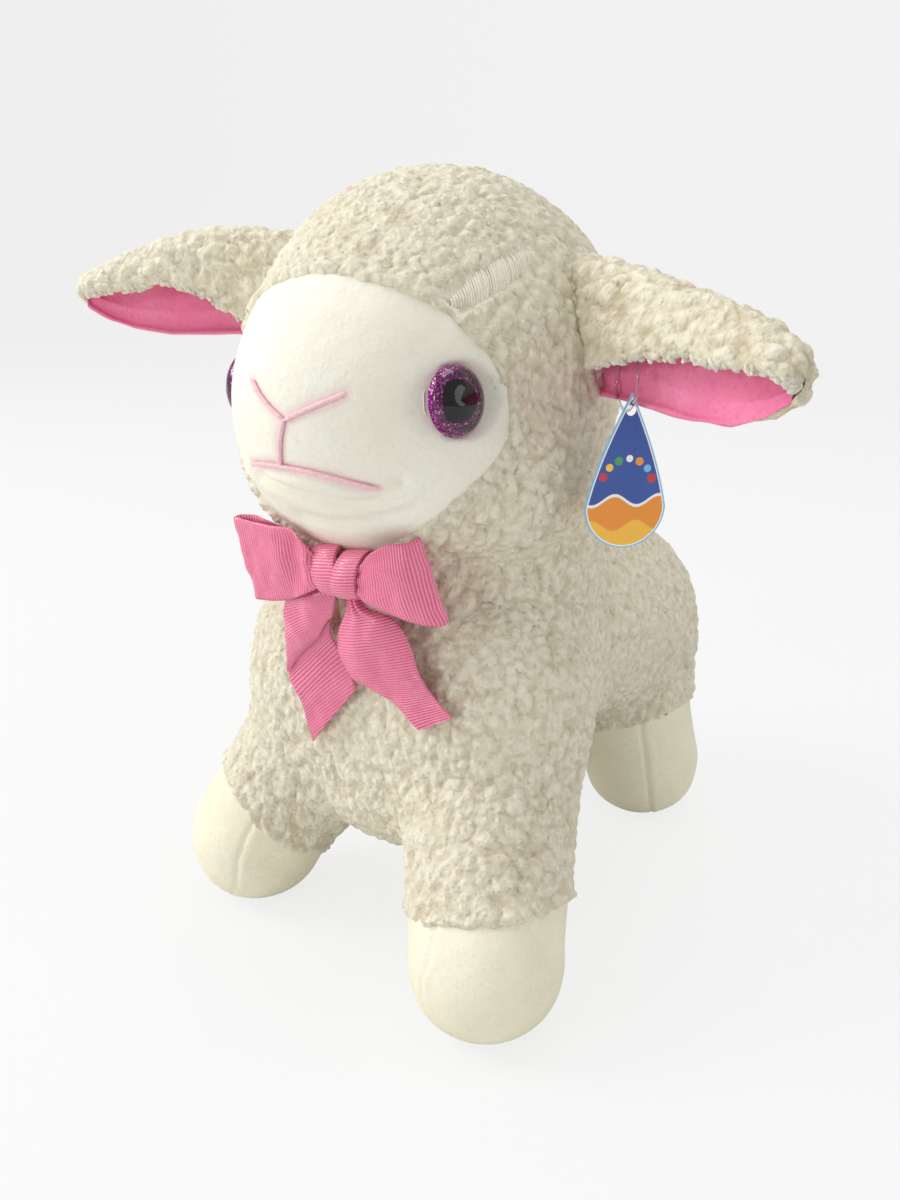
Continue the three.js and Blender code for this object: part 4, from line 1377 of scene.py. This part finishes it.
def add_stitching():
    nose_lines = [face_line(stops, 0.3 * MM - VELOUR_SINK) for stops in [*NOSE_ARMS, NOSE_STEM]]
    nose = merged([stitch_tube(line) for line in nose_lines])
    mouth = stitch_tube(face_line(MOUTH, 0.35 * MM - VELOUR_SINK))
    for name, node, (points_, faces) in (
        ("nose_embroidery", "nose_stitching", nose),
        ("mouth_embroidery", "mouth_stitching", mouth),
    ):
        made = outward(mesh_object(name, points_, faces, pink_thread))
        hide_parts(node)
        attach(made, "torso_and_head")


add_stitching()


# Backing threads that show where the hood's pile has parted
PATCH_THREAD_PITCH = 0.95 * MM
PATCH_SLANT = 0.5


def add_patch_threads():
    random = np.random.default_rng(160)
    line = onto(head_distance, evenly(catmull_rom(BALD_LINE, 12), PATCH_THREAD_PITCH))
    slopes = slope_of(head_distance, line)
    strands = []
    for index in range(1, len(line) - 1):
        along = unit(line[index + 1] - line[index - 1])
        across = unit(np.cross(slopes[index], along)) + PATCH_SLANT * along
        shares = np.linspace(-1, 1, 13)
        leaf = math.sin(math.pi * (index + 1) / (len(line) + 1)) ** 0.6
        reach = random.uniform(3.3, 5.3) * leaf * MM
        path = line[index] + across * (shares * reach)[:, None]
        path = onto(head_distance, path)
        height = (0.75 - 1.3 * shares**2 + random.uniform(-0.12, 0.12)) * MM - 0.7 * MM
        path = path + height[:, None] * unit(slopes[index])
        strands.append(tube(path, np.full(len(path), random.uniform(0.36, 0.55) * MM), 6))
    threads = outward(mesh_object("hood_backing_threads", *merged(strands), cream_thread))
    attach(threads, "torso_and_head")


add_patch_threads()


# Hang tag: a teardrop card, in millimetres to its side and up from its hole, and its clear loop
TAG_HOLE = place(78, 47, 197)
TAG_TURN = turned_about((0, 0, 1), 42)
CARD_TOP = 5
CARD_ROUND = 12.5
CARD_MIDDLE = -28.5
CARD_BULGE = (9.375, -13.425)
CARD_HOLE = 1.6
CARD_THICKNESS = 0.6
LOOP_RADIUS = 9
LOOP_THICKNESS = 0.9
LOOP_LEAN = -35
LOOP_RAISED = 0.85
CARD_RINGS = [0, 0.3, 0.55, 0.7, 0.8, 0.87, 0.92, 0.95, 0.97, 0.985, 1]
CARD_DOTS = [
    (-7.4, -19.4, 1.3, (206, 46, 52)),
    (-5.6, -16.6, 1.2, (252, 206, 70)),
    (-2.9, -14.7, 1.3, (66, 160, 84)),
    (0.4, -14.0, 1.1, (250, 250, 250)),
    (3.5, -14.9, 1.3, (243, 150, 44)),
    (6.1, -17.0, 1.2, (120, 190, 232)),
    (7.6, -20.0, 1.4, (206, 46, 52)),
]


def card_outline():
    t = np.linspace(0, 1, 41)
    side = 2 * t * (1 - t) * CARD_BULGE[0] + t**2 * CARD_ROUND
    height = (1 - t) ** 2 * CARD_TOP + 2 * t * (1 - t) * CARD_BULGE[1] + t**2 * CARD_MIDDLE
    turns = np.linspace(0, -math.pi, 50)[1:-1]
    arc = np.stack([CARD_ROUND * np.cos(turns), CARD_MIDDLE + CARD_ROUND * np.sin(turns)], 1)
    right = np.stack([side, height], 1)
    left = (right * np.array([-1, 1]))[::-1][:-1]
    return np.concatenate([right, arc, left])


def ring_of_rings(rings):
    """Points and faces of a solid whose rings close on each other."""
    rings = np.asarray(rings)
    rows, columns = rings.shape[:2]
    faces = grid_faces(rows + 1, columns, wrap=True)
    return rings.reshape(-1, 3), [tuple(corner % (rows * columns) for corner in face) for face in faces]


def card_material():
    made = Nodes("printed_card_new", Roughness=0.3, Coat_Weight=0.4, Coat_Roughness=0.1)
    side, height, inset = [made.attribute(name) for name in ("card_side", "card_height", "inset")]
    grain = made.noise(1800, 2)
    colour = made.mix(made.noise(90, 2), srgb(36, 72, 150), srgb(46, 86, 170))
    swell = made.math("MULTIPLY", made.math("SINE", made.math("MULTIPLY", side, 0.45)), 1.6)
    level = made.math("ADD", height, swell)
    colour = made.mix(made.spread(level, -26.0, -26.2), colour, srgb(250, 250, 250))
    colour = made.mix(made.spread(level, -26.9, -27.1), colour, srgb(240, 148, 40))
    level = made.math("SUBTRACT", height, swell)
    colour = made.mix(made.spread(level, -34.0, -34.2), colour, srgb(250, 192, 62))
    for dot_side, dot_height, radius, tone in CARD_DOTS:
        across = made.math("SUBTRACT", side, dot_side)
        up = made.math("SUBTRACT", height, dot_height)
        apart = made.math("ADD", made.math("MULTIPLY", across, across), made.math("MULTIPLY", up, up))
        colour = made.mix(made.spread(apart, radius**2, (radius - 0.1) ** 2), colour, srgb(*tone))
    colour = made.mix(made.spread(inset, 0.85, 0.75), colour, srgb(250, 250, 250))
    colour = made.mix(made.spread(inset, 0.5, 0.4), colour, srgb(128, 196, 230))
    colour = made.mix(made.spread(inset, 0.06, 0.0), colour, srgb(214, 224, 230))
    made.colour(colour)
    made.rough(made.spread(grain, 0.3, 0.7, 0.26, 0.4))
    made.bump((grain, 0.02 * MM))
    return made.material


def add_tag():
    outline = card_outline()
    turns = np.arctan2(outline[:, 1], outline[:, 0])
    hole = CARD_HOLE * np.stack([np.cos(turns), np.sin(turns)], 1)
    shares = np.array(CARD_RINGS + CARD_RINGS[::-1])[None, :, None]
    flat = hole[:, None] * (1 - shares) + outline[:, None] * shares
    depth = np.where(np.arange(shares.size) < len(CARD_RINGS), -0.5, 0.5) * CARD_THICKNESS
    rings = np.stack([flat[..., 0], np.tile(depth, (len(flat), 1)), flat[..., 1]], -1)
    points_, faces = ring_of_rings(rings)
    placed = points_ * MM @ TAG_TURN.T + TAG_HOLE
    card = outward(mesh_object("tag_card", placed, faces, card_material(), smooth=False))
    fine = evenly(np.concatenate([outline, outline[:1]]), 0.2)
    add_point_values(card, "card_side", points_[:, 0])
    add_point_values(card, "card_height", points_[:, 2])
    add_point_values(card, "inset", nearest(points_[:, [0, 2]], fine))
    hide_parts("hang_tag")
    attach(card, "hang_tag")


def add_fastener():
    rings = []
    for turn in np.linspace(0, 2 * math.pi, 64, endpoint=False):
        out = np.array([0, math.sin(turn), math.cos(turn)])
        side = np.array([1, 0, 0])
        spokes = np.linspace(0, 2 * math.pi, 12, endpoint=False)
        bead = [LOOP_THICKNESS / 2 * (math.cos(a) * out + math.sin(a) * side) for a in spokes]
        rings.append(LOOP_RADIUS * out + np.array(bead))
    points_, faces = ring_of_rings(rings)
    leaning = (points_ + [0, 0, LOOP_RADIUS]) @ turned_about((1, 0, 0), LOOP_LEAN).T + [0, 0, LOOP_RAISED]
    loop = outward(mesh_object("tag_loop", leaning * MM @ TAG_TURN.T + TAG_HOLE, faces, clear))
    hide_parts("tag_fastener")
    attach(loop, "left_ear")


add_tag()
add_fastener()


# Small CAD solids that stay as they are
def plastic_material():
    made = Nodes("white_plastic_new", Roughness=0.4)
    grain = made.noise(500, 3)
    made.colour(made.mix(grain, srgb(244, 243, 238), srgb(228, 227, 220)))
    made.rough(made.spread(grain, 0.3, 0.7, 0.32, 0.5))
    made.bump((grain, 0.03 * MM))
    return made.material


def dress_kept_nodes():
    plastic = plastic_material()
    for node, material in (
        ("left_eye_washer", plastic),
        ("right_eye_washer", plastic),
        ("bow_tack_stitch", pink_thread),
    ):
        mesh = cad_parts[node].data
        mesh.materials.clear()
        mesh.materials.append(material)


dress_kept_nodes()


# Floor, backdrop and lights
def pale_surface(name, level, shown):
    """Pale ground that keeps the shadow but shows the camera a lighter level."""
    made = Nodes(name, Roughness=1.0)
    path = made.add("LightPath").outputs
    shader = made.shader
    shader.inputs["Base Color"].default_value = (level, level, level, 1)
    glow = made.add("Emission", {"Color": (shown, shown, shown, 1), "Strength": 1.0})
    seen = made.math("MAXIMUM", path["Is Camera Ray"], path["Is Glossy Ray"])
    seen = made.math("MAXIMUM", seen, path["Is Transmission Ray"])
    share = made.math("MULTIPLY", seen, 0.8)
    mixed = made.add("MixShader", {0: share, 1: shader.outputs[0], 2: glow.outputs[0]})
    made.tree.links.new(mixed.outputs[0], made.tree.nodes["Material Output"].inputs["Surface"])
    return made.material


def add_stage():
    reach, turn = 4.0, 0.6
    profile = [(-reach, 0)]
    steps = 16
    for step in range(steps + 1):
        angle = math.pi / 2 * step / steps
        profile.append((reach / 2 + turn * math.sin(angle), turn * (1 - math.cos(angle))))
    profile.append((reach / 2 + turn, reach))
    points = []
    for x in (-reach, reach):
        points += [(x, y, z) for y, z in profile]
    count = len(profile)
    faces = [(i, i + 1, count + i + 1, count + i) for i in range(count - 1)]
    ground = mesh_object("floor_and_backdrop", points, faces, pale_surface("pale_ground", 0.8, 0.975))


# Size, power and place of each lamp; all shine at the lamb's middle
LAMPS = {
    "key": (1.1, 19.5, (-1.4, -0.75, 1.2)),
    "side": (1.0, 4.0, (1.6, 0.3, 0.6)),
    "top": (1.0, 8.5, (0.0, 0.1, 1.9)),
    "front": (0.3, 2.8, (-0.35, -1.3, 0.5)),
}
LAMB_MIDDLE = (0, 0, 0.13)


def add_light(name, size, power, spot):
    data = bpy.data.lights.new(name, "AREA")
    data.shape = "DISK"
    data.size = size
    data.energy = power
    light = link(name, data)
    light.location = spot
    light.rotation_euler = (Vector(LAMB_MIDDLE) - Vector(spot)).to_track_quat("-Z", "Y").to_euler()


add_stage()
for lamp, settings in LAMPS.items():
    add_light(lamp, *settings)


def add_world(level, shown):
    """A plain soft room that lights at one level and shows the camera a lighter one."""
    world = bpy.data.worlds.new("soft_room")
    world.use_nodes = True
    nodes, links = world.node_tree.nodes, world.node_tree.links
    seen = nodes.new("ShaderNodeMapRange")
    seen.inputs["To Min"].default_value = level
    seen.inputs["To Max"].default_value = shown
    links.new(nodes.new("ShaderNodeLightPath").outputs["Is Camera Ray"], seen.inputs["Value"])
    room = nodes["Background"]
    room.inputs["Color"].default_value = (1, 1, 1, 1)
    links.new(seen.outputs["Result"], room.inputs["Strength"])
    bpy.context.scene.world = world


add_world(0.48, 0.95)
bpy.context.scene.view_settings.view_transform = "Standard"
